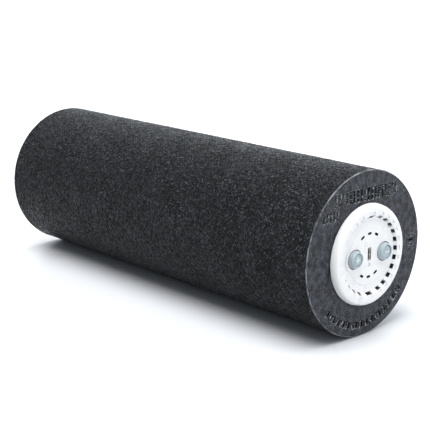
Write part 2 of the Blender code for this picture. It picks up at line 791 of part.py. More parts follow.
def make_magnets():
    """Two curved magnets inside the can, cut from one ring by a gap above and below."""
    start, end = MAGNET_SPAN
    outer = CAN_RADIUS - CAN_WALL - GAP
    profile = [(-start, MAGNET_INNER), (-start, outer), (-end, outer), (-end, MAGNET_INNER)]
    size = 4 * MAGNET_INNER
    for name, side in (("magnet_left", -1), ("magnet_right", 1)):
        magnet = turned(name, "ferrite", depth(0), profile, MEDIUM)

        def far_side(shape):
            middle = depth((start + end) / 2, y=side * (MAGNET_GAP - size) / 2)
            add_box(shape, middle, (size, size, size))

        combine(magnet, helper_shapes(name + "_far_side", far_side), "DIFFERENCE")


def make_armature():
    """Slotted stack of the rotor, with its commutator in front."""
    bore = SHAFT_RADIUS + GAP
    start, end = STACK_SPAN
    profile = [(-start, bore), (-start, STACK_RADIUS), (-end, STACK_RADIUS), (-end, bore)]
    stack = turned("armature", "steel", depth(0), profile, MEDIUM)

    def slots(shape):
        slot_depth, width = 0.0038, 0.0022
        size = (2 * (end - start), slot_depth * 2, width)
        for pole in range(POLES):
            middle = depth((start + end) / 2, y=STACK_RADIUS)
            add_box(shape, middle, size, math.tau * pole / POLES)

    combine(stack, helper_shapes("armature_slots", slots), "DIFFERENCE")
    front, back = COMMUTATOR_SPAN
    ring = [(-front, bore), (-front, COMMUTATOR_RADIUS), (-back, COMMUTATOR_RADIUS), (-back, bore)]
    turned("commutator", "copper", depth(0), ring, SMALL)


def make_shaft_and_weights():
    """Shaft through the motor with an eccentric weight on each end, hanging down at rest."""
    ends = (-SHAFT_START, -SHAFT_END)
    bevel = 0.0004
    profile = [
        (ends[0], 0),
        (ends[0], SHAFT_RADIUS - bevel),
        (ends[0] - bevel, SHAFT_RADIUS),
        (ends[1] + bevel, SHAFT_RADIUS),
        (ends[1], SHAFT_RADIUS - bevel),
        (ends[1], 0),
    ]
    turned("motor_shaft", "steel", depth(0), profile, SMALL)
    hub = 0.0058
    outline = arc((0, 0), WEIGHT_RADIUS, -180, 0, 20)
    outline += arc((0, 0), hub, 0, 180, 10)

    def shaft_bore(shape):
        add_cylinder(shape, depth(SHAFT_START), depth(SHAFT_END), SHAFT_RADIUS + GAP)

    bore = helper_shapes("weight_bore", shaft_bore)
    for name, start in WEIGHT_DEPTHS.items():
        middle = depth(start + WEIGHT_THICKNESS / 2)
        weight = as_mesh(plate(name, "brass", middle, WEIGHT_THICKNESS, outline))
        combine(weight, bore, "DIFFERENCE")


def make_motor_mounts():
    """Rings that hold the motor's can rigidly inside the casing."""
    outer, inner = SHELL_INNER - GAP, CAN_RADIUS + GAP
    for name, start in MOUNT_DEPTHS.items():
        end = start + MOUNT_WIDTH
        profile = [(-start, inner), (-start, outer), (-end, outer), (-end, inner)]
        turned(name, "black_plastic", depth(0), profile, LARGE)


# The leads


def smooth(points, steps):
    """Points along a Catmull-Rom curve through the given ones."""
    path = []
    ends = [points[0]] + points + [points[-1]]
    for a, b, c, d in zip(ends, ends[1:], ends[2:], ends[3:]):
        slope, bend, twist = c - a, 2 * a - 5 * b + 4 * c - d, 3 * b - a - 3 * c + d
        for i in range(steps):
            t = i / steps
            path.append(b + 0.5 * (slope * t + bend * t**2 + twist * t**3))
    return path + [points[-1]]


def make_lead(name, material, points, steps=4):
    curve = bpy.data.curves.new(name, "CURVE")
    curve.dimensions = "3D"
    curve.bevel_depth = LEAD_RADIUS
    curve.bevel_resolution = 2
    curve.use_fill_caps = True
    path = smooth([Vector(p) for p in points], steps)
    spline = curve.splines.new("POLY")
    spline.points.add(len(path) - 1)
    for point, position in zip(spline.points, path):
        point.co = (*position, 1)
    place(name, curve, material, (0, 0, 0), (0, 0, 0))


def make_leads():
    """Battery leads behind the board, and motor leads that run under the battery."""
    board = BOARD_DEPTH + BOARD_THICKNESS + GAP
    tab = CELL_DEPTH - 0.0011
    for side, color in ((-1, "red"), (1, "black")):
        battery = [
            depth(board, side * 0.0120, 0.0060),
            depth(board + 0.006, side * 0.0120, 0.0060),
            depth(tab - 0.008, side * 0.0110, 0.0010),
            depth(tab, side * CELL_SPREAD, 0),
        ]
        make_lead(f"battery_lead_{color}", f"{color}_wire", battery)
        low, beside = -0.0170, side * 0.0076
        motor = [
            depth(board, beside, -0.0120),
            depth(board + 0.006, beside, -0.0125),
            depth(board + 0.016, beside, low),
            depth(0.060, beside, low),
            depth(0.100, beside, low),
            depth(0.130, beside, low - 0.0006),
            depth(0.150, beside, low - 0.0006),
            depth(CAN_START - 0.0035 - GAP, side * 0.0070, -0.0150),
        ]
        make_lead(f"motor_lead_{color}", f"{color}_wire", motor)


def smooth_by_angle(limit):
    """A modifier group that shades faces smooth, except across edges sharper than the limit."""
    group = bpy.data.node_groups.new("smooth_by_angle", "GeometryNodeTree")
    for direction in ("INPUT", "OUTPUT"):
        group.interface.new_socket("Mesh", in_out=direction, socket_type="NodeSocketGeometry")
    start, end = group.nodes.new("NodeGroupInput"), group.nodes.new("NodeGroupOutput")
    angle = group.nodes.new("GeometryNodeInputMeshEdgeAngle")
    sharp = group.nodes.new("FunctionNodeCompare")
    sharp.operation = "GREATER_THAN"
    sharp.inputs[1].default_value = limit
    faces = group.nodes.new("GeometryNodeSetShadeSmooth")
    edges = group.nodes.new("GeometryNodeSetShadeSmooth")
    edges.domain = "EDGE"
    edges.inputs["Shade Smooth"].default_value = False
    group.links.new(angle.outputs[0], sharp.inputs[0])
    group.links.new(sharp.outputs[0], edges.inputs["Selection"])
    for source, target in ((start, faces), (faces, edges), (edges, end)):
        group.links.new(source.outputs[0], target.inputs[0])
    return group


def shade_smooth():
    shading = smooth_by_angle(math.radians(30))
    for piece in roller.objects:
        if piece.type == "MESH":
            piece.modifiers.new("Smooth by angle", "NODES").node_group = shading


def group(name, origin, members):
    """Puts the pieces that move together under an empty on their joint's axis."""
    empty = bpy.data.objects.new(name, None)
    empty.empty_display_size = 0.01
    empty.location = origin
    roller.objects.link(empty)
    for member in members:
        piece = bpy.data.objects[member]
        piece.parent = empty
        piece.matrix_parent_inverse = Matrix.Translation(-Vector(origin))


clear_scene()
roller = new_collection("foam_roller")
helpers = new_collection("cutters")
made = {}

make_foam_sleeve()
make_head_cover()
make_front_bulkhead()
make_buttons()
make_switches()
make_charging_port()
make_charge_light()
make_control_board()
make_head_screws()
make_half_shell("core_shell_upper", 1)
make_half_shell("core_shell_lower", -1)
make_shell_screws()
make_tail_cap()
make_grip_rings()
make_cells()
make_battery_trays()
make_cell_links()
make_motor_case()
make_bearings()
make_magnets()
make_armature()
make_shaft_and_weights()
make_motor_mounts()
make_leads()
shade_smooth()

group("plus_press", depth(0, y=PLUS_Y), ["plus_button", "plus_switch_plunger"])
group("minus_press", depth(0, y=MINUS_Y), ["minus_button", "minus_switch_plunger"])
group(
    "rotor",
    depth(CAN_START + CAN_LENGTH / 2),
    ["motor_shaft", "armature", "commutator", "weight_front", "weight_rear"],
)
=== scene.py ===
"""The looks of the vibrating foam roller: moulded foam with a relief on its end, a fine control head,
and the casing, bands and screws that show when the core is pulled out.

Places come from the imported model. Heights on the control head are measured from the foam's end face.
"""

import math

import bmesh
import bpy
import numpy as np
from mathutils import Matrix, Vector, noise


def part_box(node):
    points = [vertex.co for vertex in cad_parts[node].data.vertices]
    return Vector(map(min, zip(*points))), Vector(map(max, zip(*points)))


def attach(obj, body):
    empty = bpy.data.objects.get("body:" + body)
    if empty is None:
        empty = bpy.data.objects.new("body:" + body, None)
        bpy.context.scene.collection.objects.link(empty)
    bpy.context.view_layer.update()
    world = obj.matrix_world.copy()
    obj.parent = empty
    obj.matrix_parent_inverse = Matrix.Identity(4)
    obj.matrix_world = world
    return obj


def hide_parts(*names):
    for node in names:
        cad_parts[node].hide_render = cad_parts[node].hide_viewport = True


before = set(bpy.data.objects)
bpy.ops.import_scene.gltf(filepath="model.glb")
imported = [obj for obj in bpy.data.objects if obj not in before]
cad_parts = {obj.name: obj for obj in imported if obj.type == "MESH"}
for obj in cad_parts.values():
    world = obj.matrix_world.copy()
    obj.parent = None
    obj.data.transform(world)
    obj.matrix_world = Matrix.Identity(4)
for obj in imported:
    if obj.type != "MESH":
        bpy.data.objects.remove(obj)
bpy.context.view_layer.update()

MM = 0.001
TINY = 0.001 * MM  # lengths below this count as nothing
SMOOTH_ANGLE = 32  # faces that meet at fewer degrees are shaded as one surface
CORNER_SHARE = 0.45  # how much of a side one rounded corner may take: under half, so two never meet

# The frame's own sizes
FOAM_LOW, FOAM_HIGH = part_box("foam_sleeve")
NEAR, FAR = FOAM_HIGH[0], FOAM_LOW[0]
FLOOR = FOAM_LOW[2]
FOAM_RADIUS = FOAM_HIGH[2]
BORE_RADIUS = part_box("grip_ring_front")[1][2] + 0.2 * MM
HEAD_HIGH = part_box("head_cover")[1]
PLUS_LOW, PLUS_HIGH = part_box("plus_button")
BUTTON_SPREAD = -(PLUS_LOW[1] + PLUS_HIGH[1]) / 2
PROUD = PLUS_HIGH[0] - NEAR
PORT_RISE = (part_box("port_shell")[0][2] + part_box("port_shell")[1][2]) / 2
LIGHT_RISE = (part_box("charge_light")[0][2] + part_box("charge_light")[1][2]) / 2
TAIL_LOW, TAIL_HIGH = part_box("tail_cap")


# ---------------------------------------------------------------- shapes


def shade_smooth(mesh, angle=SMOOTH_ANGLE):
    """Smooth shading, except across edges sharper than the angle."""
    mesh.shade_smooth()
    mesh.set_sharp_from_angle(angle=math.radians(angle))


def link(name, mesh, smooth_angle=SMOOTH_ANGLE):
    """A shaded object for the mesh, in the scene."""
    piece = bpy.data.objects.new(name, mesh)
    bpy.context.scene.collection.objects.link(piece)
    shade_smooth(mesh, smooth_angle)
    return piece


def plain_mesh(name, shape):
    """A mesh from the edited shape, which is freed."""
    mesh = bpy.data.meshes.new(name)
    shape.to_mesh(mesh)
    shape.free()
    return mesh


def soften(points, radius, steps=3, closed=False):
    """The outline with each corner rounded. A point may carry its own radius as a third value."""
    count, softened = len(points), []
    for i, point in enumerate(points):
        here = Vector(point[:2])
        if not closed and i in (0, count - 1):
            softened.append(tuple(here))
            continue
        before, after = Vector(points[i - 1][:2]), Vector(points[(i + 1) % count][:2])
        to_before, to_after = before - here, after - here
        own = point[2] if len(point) > 2 else radius
        reach = min(own, to_before.length * CORNER_SHARE, to_after.length * CORNER_SHARE)
        if reach < TINY:
            softened.append(tuple(here))
            continue
        start = here + to_before.normalized() * reach
        end = here + to_after.normalized() * reach
        for step in range(steps + 1):
            t = step / steps
            bend = start * (1 - t) ** 2 + here * 2 * t * (1 - t) + end * t * t
            softened.append(tuple(bend))
    return softened


def wound(profile):
    """The profile in the order that turns its faces outward."""
    pairs = zip(profile, profile[1:] + profile[:1])
    area = sum(a[0] * b[1] - b[0] * a[1] for a, b in pairs)
    return profile if area > 0 else profile[::-1]


def turned_mesh(name, profile, steps, base=(0, 0, 0), phase=0.0):
    """A mesh turned about X from points of (distance along X from the base, radius).

    An outline that keeps clear of the axis is closed into a ring.
    """
    points = wound(list(profile))
    ring = min(points[0][1], points[-1][1]) > TINY
    vertices, rows = [], []
    for along, radius in points:
        if radius < TINY:
            rows.append([len(vertices)] * steps)
            vertices.append((base[0] + along, base[1], base[2]))
            continue
        rows.append(list(range(len(vertices), len(vertices) + steps)))
        for step in range(steps):
            angle = phase + math.tau * step / steps
            y, z = radius * math.cos(angle), radius * math.sin(angle)
            vertices.append((base[0] + along, base[1] + y, base[2] + z))
    faces = []
    for upper, lower in zip(rows, rows[1:] + rows[:1] if ring else rows[1:]):
        for step in range(steps):
            after = (step + 1) % steps
            corners = list(dict.fromkeys([upper[step], lower[step], lower[after], upper[after]]))
            if len(corners) > 2:
                faces.append(corners)
    mesh = bpy.data.meshes.new(name)
    mesh.from_pydata(vertices, [], faces)
    return mesh


def turned(name, profile, steps, base=(0, 0, 0)):
    """A shaded object turned about X, in the scene."""
    return link(name, turned_mesh(name, profile, steps, base))


def arc(centre, radius, start, end, steps):
    """Points of an arc between two angles in degrees, both ends included."""
    angles = [math.radians(start + (end - start) * i / steps) for i in range(steps + 1)]
    return [(centre[0] + radius * math.cos(a), centre[1] + radius * math.sin(a)) for a in angles]


def add_prism(shape, outline, low, high, turn=0.0):
    """A closed prism along X over an outline in (y, z), turned about the roller's axis."""
    spin = Matrix.Rotation(turn, 3, "X")
    ends = []
    for x in (low, high):
        ends.append([shape.verts.new(spin @ Vector((x, y, z))) for y, z in outline])
    bottom, top = ends
    shape.faces.new(bottom[::-1])
    shape.faces.new(top)
    for i in range(len(outline)):
        j = (i + 1) % len(outline)
        shape.faces.new((bottom[i], bottom[j], top[j], top[i]))


def add_rod(shape, start, end, radius, steps=32):
    """A closed cylinder between two points."""
    start, end = Vector(start), Vector(end)
    turn = Vector((0, 0, 1)).rotation_difference(end - start).to_matrix().to_4x4()
    placed = Matrix.Translation((start + end) / 2) @ turn
    length = (end - start).length
    bmesh.ops.create_cone(
        shape, cap_ends=True, segments=steps, radius1=radius, radius2=radius, depth=length, matrix=placed
    )


def rounded_box(centre, size, corner, steps=4):
    """Outline of a box with round corners, in (y, z)."""
    corners = [
        (centre[0] + y * size[0] / 2, centre[1] + z * size[1] / 2)
        for y, z in ((-1, -1), (1, -1), (1, 1), (-1, 1))
    ]
    return soften(corners, corner, steps, closed=True)


def circle(centre, radius, steps):
    """Outline of a circle, in (y, z)."""
    return arc(centre, radius, 0, 360, steps)[:-1]


def helper(name, add_shapes):
    """An object, linked to the scene, that holds what the function adds to an empty shape."""
    shape = bmesh.new()
    add_shapes(shape)
    other = bpy.data.objects.new(name, plain_mesh(name, shape))
    bpy.context.scene.collection.objects.link(other)
    return other


def combine(piece, steps):
    """Applies Booleans, given as (operation, function that adds the other shapes), one by one."""
    others = []
    for number, (operation, add_shapes) in enumerate(steps):
        other = helper(f"{piece.name}_{number}", add_shapes)
        boolean = piece.modifiers.new(operation.title(), "BOOLEAN")
        boolean.operation = operation
        boolean.object = other
        others.append(other)
    bpy.context.view_layer.update()
    graph = bpy.context.evaluated_depsgraph_get()
    piece.data = bpy.data.meshes.new_from_object(piece.evaluated_get(graph))
    piece.modifiers.clear()
    shade_smooth(piece.data)
    for other in others:
        bpy.data.objects.remove(other)


# ---------------------------------------------------------------- materials

# Crossed lines moulded into the foam's side: their spacing along the axis, and how many go around
LINE_PITCH, LINES_AROUND = 2.6 * MM, 120
RELIEF_DEPTH = 0.8 * MM


class Tree:
    """Adds nodes to one node tree. An input is a number, a colour or another node's output."""

    def __init__(self, tree):
        self.tree = tree

    def put(self, node, socket, value):
        """Links or sets one input."""
        target = node.inputs[socket]
        if isinstance(value, bpy.types.NodeSocket):
            self.tree.links.new(value, target)
        else:
            target.default_value = value

    def add(self, kind, inputs=None, **settings):
        """A new node with its settings and inputs."""
        node = self.tree.nodes.new(kind)
        for key, value in settings.items():
            setattr(node, key, value)
        for socket, value in (inputs or {}).items():
            self.put(node, socket, value)
        return node

    def sum(self, operation, a, b=0.0, c=0.0):
        """The result of any operation of the Math node."""
        return self.add("ShaderNodeMath", {0: a, 1: b, 2: c}, operation=operation).outputs[0]

    def range(self, value, low, high, to_low=0.0, to_high=1.0, **settings):
        """The value moved from one range to another, and held inside the second."""
        inputs = {"Value": value, "From Min": low, "From Max": high}
        inputs |= {"To Min": to_low, "To Max": to_high}
        return self.add("ShaderNodeMapRange", inputs, clamp=True, **settings).outputs["Result"]


class Graph(Tree):
    """The nodes of one material, around its Principled shader."""

    def __init__(self, name, color, roughness, metallic=0.0, **shader_values):
        self.material = bpy.data.materials.new(name)
        self.material.use_nodes = True
        super().__init__(self.material.node_tree)
        self.shader = self.tree.nodes["Principled BSDF"]
        self.material.diffuse_color = (*color, 1)
        self.put(self.shader, "Base Color", (*color, 1))
        self.put(self.shader, "Roughness", roughness)
        self.put(self.shader, "Metallic", metallic)
        for socket, value in shader_values.items():
            self.put(self.shader, socket.replace("_", " "), value)
        self.place = self.add("ShaderNodeTexCoord").outputs["Object"]

    def noise(self, size, detail=2.0, stretch=None, rough=0.5):
        """Noise whose features are about `size` metres across."""
        source = self.place
        if stretch:
            scaled = self.add("ShaderNodeVectorMath", {0: source, 1: stretch}, operation="MULTIPLY")
            source = scaled.outputs[0]
        inputs = {"Vector": source, "Scale": 1 / size, "Detail": detail, "Roughness": rough}
        return self.add("ShaderNodeTexNoise", inputs).outputs["Fac"]

    def cells(self, size, feature="F1"):
        """Distances in a pattern of cells about `size` metres across."""
        inputs = {"Vector": self.place, "Scale": 1 / size}
        return self.add("ShaderNodeTexVoronoi", inputs, feature=feature).outputs["Distance"]

    def mix(self, factor, a, b):
        """Two colours mixed: sockets 0, 6 and 7 are the colour mix's own."""
        node = self.add("ShaderNodeMix", {0: factor}, data_type="RGBA")
        self.put(node, 6, a)
        self.put(node, 7, b)
        return node.outputs[2]

    def bump(self, height, depth):
        """Bump whose full height is `depth` metres."""
        inputs = {"Height": height, "Distance": depth, "Strength": 1.0}
        self.put(self.shader, "Normal", self.add("ShaderNodeBump", inputs).outputs["Normal"])
        return self.material


def shade(color, factor):
    """The colour made darker or lighter, with an alpha of 1."""
    return (*(min(1.0, c * factor) for c in color), 1)


def foam_side():
    """Bead foam: mottled clusters crossed by fine moulded lines, with pale flecks."""
    color = (0.0036, 0.0040, 0.0048)
    g = Graph("foam_side", color, 0.4, Specular_IOR_Level=0.12)
    x, y, z = g.add("ShaderNodeSeparateXYZ", {0: g.place}).outputs
    angle = g.sum("ARCTAN2", y, z)
    wander = g.range(g.noise(9 * MM, 3), 0, 1, -6.0, 6.0)
    lines = []
    for side in (1, -1):
        slope = g.sum("MULTIPLY_ADD", x, math.tau / LINE_PITCH, wander)
        lines.append(g.sum("SINE", g.sum("MULTIPLY_ADD", angle, side * LINES_AROUND, slope)))
    weave = g.range(g.sum("ADD", *lines), -1.5, 1.5)
    cluster = g.range(g.noise(2.3 * MM, 3, rough=0.62), 0.38, 0.64)
    grain = g.range(g.noise(1.1 * MM, 2), 0.32, 0.68)
    patch = g.range(g.noise(18 * MM, 2), 0.30, 0.70)
    tone = g.sum("MULTIPLY_ADD", cluster, 0.48, g.sum("MULTIPLY", weave, 0.24))
    tone = g.sum("MULTIPLY_ADD", grain, 0.40, tone)
    tone = g.sum("MULTIPLY_ADD", patch, 0.16, tone)
    base = g.mix(g.range(tone, 0.34, 0.96), shade(color, 0.45), shade(color, 1.7))
    fleck = g.range(g.sum("ADD", g.noise(1.2 * MM, 1), g.range(tone, 0.3, 1.0, -0.06, 0.08)), 0.58, 0.70)
    g.put(g.shader, "Base Color", g.mix(fleck, base, (0.044, 0.049, 0.056, 1)))
    g.put(g.shader, "Roughness", g.range(tone, 0.3, 1.0, 0.74, 0.14))
    height = g.sum("MULTIPLY_ADD", cluster, 0.7, g.sum("MULTIPLY", weave, 0.30))
    return g.bump(g.sum("MULTIPLY_ADD", grain, 0.5, height), 1.1 * MM)


def foam_end():
    """The denser skin of the foam's ends: fine mottling, a few pale specks with more of them on tilted
    faces as painted glints, and a relief whose grooves are painted dark as shade, with patches of
    painted highlight along their upper edges."""
    color = (0.0260, 0.0280, 0.0345)
    g = Graph("foam_end", color, 0.6, Specular_IOR_Level=0.25)
    cluster = g.range(g.noise(4.2 * MM, 3, rough=0.6), 0.34, 0.68)
    grain = g.range(g.noise(1.3 * MM, 2), 0.30, 0.70)
    tone = g.sum("MULTIPLY_ADD", cluster, 0.6, g.sum("MULTIPLY", grain, 0.4))
    base = g.mix(g.range(tone, 0.28, 0.76), shade(color, 0.30), shade(color, 1.75))
    normal = g.add("ShaderNodeNewGeometry").outputs["True Normal"]
    facing = g.add("ShaderNodeSeparateXYZ", {0: normal}).outputs["X"]
    along = g.add("ShaderNodeSeparateXYZ", {0: g.place}).outputs["X"]
    # The grooves get a darker copy of the foam as painted shade, and so does all that lies deeper than
    # the relief, so the far end is darker than the near one.
    sunk = g.range(along, NEAR - 0.1 * MM, NEAR - 0.6 * RELIEF_DEPTH)
    base = g.mix(sunk, base, shade(color, 0.22))
    # Painted highlight: pale patches along the grooves' upper edges.
    below_face = g.range(along, NEAR - 0.03 * MM, NEAR - 0.12 * MM)
    lip = g.sum("MULTIPLY", below_face, g.range(sunk, 0.35, 0.0))
    painted_highlight_patches = g.sum("MULTIPLY", lip, g.range(g.noise(1.6 * MM, 2), 0.52, 0.60))
    base = g.mix(painted_highlight_patches, base, (0.74, 0.77, 0.81, 1))
    # Pale specks: a few anywhere, and more on tilted faces, where they are painted glints.
    painted_highlight_source = g.range(g.sum("ABSOLUTE", facing), 0.97, 0.80, 0.0, 0.18)
    specks_and_painted_glints = g.range(g.sum("ADD", g.noise(0.9 * MM, 1), painted_highlight_source), 0.68, 0.78, 0.0, 0.7)
    g.put(g.shader, "Base Color", g.mix(specks_and_painted_glints, base, (0.24, 0.25, 0.26, 1)))
    g.put(g.shader, "Roughness", g.range(grain, 0.2, 0.8, 0.42, 0.66))
    return g.bump(tone, 0.5 * MM)


def foam_corner():
    """The outer corner of the ends: a paler copy of the foam as a painted highlight along the rounded
    edge, pale in patches.
    """
    color = (0.13, 0.14, 0.15)
    g = Graph("foam_corner", color, 0.5)
    painted_highlight_source, grain = g.noise(6 * MM, 3), g.noise(1.2 * MM, 2)
    painted_highlight_patches = g.range(painted_highlight_source, 0.38, 0.62)
    g.put(g.shader, "Base Color", g.mix(painted_highlight_patches, shade(color, 0.20), shade(color, 1.25)))
    g.put(g.shader, "Roughness", g.range(grain, 0.3, 0.7, 0.4, 0.6))
    return g.bump(grain, 0.3 * MM)


def plastic(name, color, roughness=0.35, grain=0.04 * MM, coat=0.0, spread=0.06, texture=0.7 * MM):
    """Moulded plastic: a fine even texture, and gloss that varies a little."""
    g = Graph(name, color, roughness, Coat_Weight=coat, Coat_Roughness=0.15)
    cloud, fine = g.noise(14 * MM, 2), g.noise(texture, 2)
    g.put(g.shader, "Base Color", g.mix(cloud, shade(color, 0.97), shade(color, 1.03)))
    g.put(g.shader, "Roughness", g.range(cloud, 0.25, 0.75, roughness - spread, roughness + spread))
    return g.bump(fine, grain)


def silicone(name, color, clear=0.35):
    """Soft translucent rubber with a dusting that dulls it."""
    g = Graph(name, color, 0.42, Subsurface_Weight=clear, Subsurface_Scale=2 * MM, IOR=1.41)
    g.put(g.shader, "Subsurface Radius", (0.8, 1.0, 1.1))
    dust, fine = g.noise(4 * MM, 3), g.noise(0.4 * MM, 2)
    g.put(g.shader, "Base Color", g.mix(dust, shade(color, 0.92), shade(color, 1.08)))
    g.put(g.shader, "Roughness", g.range(dust, 0.3, 0.7, 0.34, 0.5))
    return g.bump(fine, 0.02 * MM)


def metal(name, color, roughness=0.3, stretch=(1.0, 0.06, 0.06), size=0.4 * MM):
    """Metal with fine tool marks, drawn out along the axes whose value in `stretch` is small."""
    g = Graph(name, color, roughness, metallic=1.0)
    marks, cloud = g.noise(size, 3, stretch=stretch), g.noise(6 * MM, 2)
    g.put(g.shader, "Base Color", g.mix(cloud, shade(color, 0.88), shade(color, 1.08)))
    g.put(g.shader, "Roughness", g.range(marks, 0.25, 0.75, roughness - 0.08, roughness + 0.1))
    return g.bump(marks, 0.012 * MM)


def board_green():
    """Solder mask over traces, with tinned pads."""
    color = (0.012, 0.11, 0.05)
    g = Graph("board_green", color, 0.35, Coat_Weight=0.3, Coat_Roughness=0.2)
    trace = g.range(g.cells(2.2 * MM, feature="DISTANCE_TO_EDGE"), 0.05, 0.09)
    lacquer = g.mix(trace, shade(color, 1.9), shade(color, 0.8))
    pad = g.range(g.cells(3.1 * MM), 0.12, 0.15)
    g.put(g.shader, "Base Color", g.mix(pad, (0.62, 0.60, 0.55, 1), lacquer))
    g.put(g.shader, "Roughness", g.range(g.noise(3 * MM), 0.3, 0.7, 0.28, 0.42))
    return g.bump(g.sum("SUBTRACT", 1.0, trace), 0.04 * MM)


def shrink_wrap():
    """Blue film shrunk over a cell: glossy and faintly rippled."""
    color = (0.03, 0.14, 0.33)
    g = Graph("shrink_wrap", color, 0.3, Coat_Weight=0.4, Coat_Roughness=0.1)
    ripple = g.noise(5 * MM, 2, stretch=(0.4, 1.0, 1.0))
    g.put(g.shader, "Base Color", g.mix(ripple, shade(color, 0.8), shade(color, 1.25)))
    g.put(g.shader, "Roughness", g.range(ripple, 0.3, 0.7, 0.22, 0.38))
    return g.bump(ripple, 0.08 * MM)


def floor_white():
    """Pale satin floor that mirrors the foam a little."""
    g = Graph("floor_white", (0.54, 0.55, 0.57), 0.35)
    g.put(g.shader, "Roughness", g.range(g.noise(200 * MM, 2), 0.3, 0.7, 0.32, 0.38))
    return g.material


WHITE = plastic("head_white", (0.68, 0.675, 0.668), 0.30, coat=0.12)
CASE_WHITE = plastic("case_white", (0.66, 0.665, 0.67), 0.42, grain=0.06 * MM)
BLACK = plastic("moulded_black_and_painted_shade", (0.014, 0.014, 0.016), 0.5, grain=0.05 * MM)
BUTTON = silicone("button_silicone_soft", (0.345, 0.40, 0.42))
# A darker copy of the button silicone: painted shade in the groove and on the side sunk in the hole.
BUTTON_PAINTED_SHADE = silicone("button_silicone_painted_shade", (0.24, 0.295, 0.325))
BUTTON_MARK = silicone("button_silicone_mark", (0.54, 0.60, 0.62))
BAND = silicone("band_silicone", (0.075, 0.080, 0.086), clear=0.0)
LENS = plastic("light_pipe", (0.60, 0.63, 0.645), 0.18, grain=0.01 * MM, coat=0.5)
STEEL = metal("steel_turned", (0.52, 0.53, 0.54), 0.28)
ZINC = metal("screw_zinc", (0.60, 0.61, 0.63), 0.26, stretch=(1.0, 1.0, 1.0), size=0.6 * MM)
NICKEL = metal("nickel_sheet", (0.64, 0.62, 0.57), 0.24, stretch=(0.08, 1.0, 1.0))
GOLD = metal("contact_gold", (0.80, 0.56, 0.20), 0.22, stretch=(0.08, 1.0, 1.0))
COPPER = metal("copper_turned", (0.70, 0.36, 0.20), 0.3)
BRASS = metal("brass_sintered", (0.66, 0.49, 0.24), 0.38, stretch=(1.0, 1.0, 1.0))
FERRITE = plastic("ferrite", (0.035, 0.035, 0.038), 0.6, grain=0.08 * MM)
LAMINATION = metal("laminations", (0.40, 0.41, 0.43), 0.36, stretch=(1.0, 0.02, 0.02), size=0.5 * MM)
RED = plastic("lead_red", (0.42, 0.012, 0.012), 0.4)
LEAD_BLACK = plastic("lead_black", (0.012, 0.012, 0.013), 0.42)
FOAM_SIDE, FOAM_END, FOAM_CORNER = foam_side(), foam_end(), foam_corner()
BOARD, WRAP = board_green(), shrink_wrap()


def finish_piece(piece, body, replaced, slot, *materials):
    """What every new piece needs: its materials, its body, and the hiding of the CAD node it stands for.
    The slot argument is not used.
    """
    piece.data.materials.clear()
    for material in materials:
        piece.data.materials.append(material)
    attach(piece, body)
    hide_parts(replaced)


# ---------------------------------------------------------------- the foam

FOAM_STEPS = 500
FOAM_TURN = math.pi / 64  # angle of the first line of vertices
SIDE_RINGS, NEAR_END_RINGS, FAR_END_RINGS, BORE_RINGS = 230, 52, 22, 12
EDGE = 0.9 * MM  # radius of the outer corners; the bore's corners have half of it
# How deep the side is pressed in: half the height of its slow waves, and its beads' size and depth
WAVE_DEPTH, BEAD, LUMP_DEPTH = 0.04 * MM, 3.2 * MM, 0.22 * MM
WAVE_LENGTHS = 19 * MM, 31 * MM  # the stretches along X over which its two waves turn by a radian
ON_SURFACE = 0.01 * MM
# Relief sunk in the end face: curved rows of short radial grooves, each
# (middle angle, number of grooves, pitch in degrees, inner radius, outer radius, groove width),
CURVED_ROWS = (
    (-88.0, 31, 3.2, 40.6 * MM, 44.8 * MM, 1.2 * MM),
    (1.0, 3, 4.0, 40.0 * MM, 45.0 * MM, 1.0 * MM),
)
# and straight rows of upright grooves, each
# (y of the first, number of grooves, pitch, low z, high z, groove width)
STRAIGHT_ROWS = (
    (-26.4 * MM, 18, 3.1 * MM, 32.2 * MM, 39.6 * MM, 1.5 * MM),
    (-36.2 * MM, 5, 2.9 * MM, 24.2 * MM, 30.0 * MM, 1.3 * MM),
)
GROOVE_SLOPE = 0.45 * MM


def span(start, end, count):
    """The values that split a stretch into `count` equal parts, without its two ends."""
    return [start + (end - start) * i / count for i in range(1, count)]


def soft_step(inside):
    """0 well outside a groove, 1 well inside it, with a smooth slope between."""
    rise = np.clip(inside / GROOVE_SLOPE + 0.5, 0, 1)
    return rise * rise * (3 - 2 * rise)


def groove_depth(points):
    """How far the relief sinks the near end face at each point: short grooves with soft edges."""
    y, z = points[:, 1], points[:, 2]
    radius, angle = np.hypot(y, z), np.arctan2(z, y)
    depth = np.zeros_like(radius)
    for middle, count, pitch, inner, outer, width in CURVED_ROWS:
        half = (count - 1) / 2
        offset = (angle - math.radians(middle) + math.pi) % math.tau - math.pi
        number = np.clip(np.round(offset / math.radians(pitch) + half), 0, count - 1)
        across = np.abs(offset - (number - half) * math.radians(pitch)) * radius
        inside = np.minimum(width / 2 - across, np.minimum(radius - inner, outer - radius))
        depth = np.maximum(depth, soft_step(inside) * RELIEF_DEPTH)
    for start, count, pitch, low, high, width in STRAIGHT_ROWS:
        number = np.clip(np.round((y - start) / pitch), 0, count - 1)
        across = np.abs(y - start - number * pitch)
        inside = np.minimum(width / 2 - across, np.minimum(z - low, high - z))
        depth = np.maximum(depth, soft_step(inside) * RELIEF_DEPTH)
    return depth


def foam_profile():
    """Outline of the hollow cylinder, as distances from its far end and radii."""
    length, small = NEAR - FAR, EDGE / 2
    side, bore = FOAM_RADIUS - EDGE, BORE_RADIUS + small
    profile = arc((length - EDGE, side), EDGE, 0, 90, 4)
    profile += [(x, FOAM_RADIUS) for x in span(length - EDGE, EDGE, SIDE_RINGS)]
    profile += arc((EDGE, side), EDGE, 90, 180, 4)
    profile += [(0, r) for r in span(side, bore, FAR_END_RINGS)]
    profile += arc((small, bore), small, 180, 270, 2)
    profile += [(x, BORE_RADIUS) for x in span(small, length - small, BORE_RINGS)]
    profile += arc((length - small, bore), small, -90, 0, 2)
    profile += [(length, r) for r in span(bore, side, NEAR_END_RINGS)]
    return profile


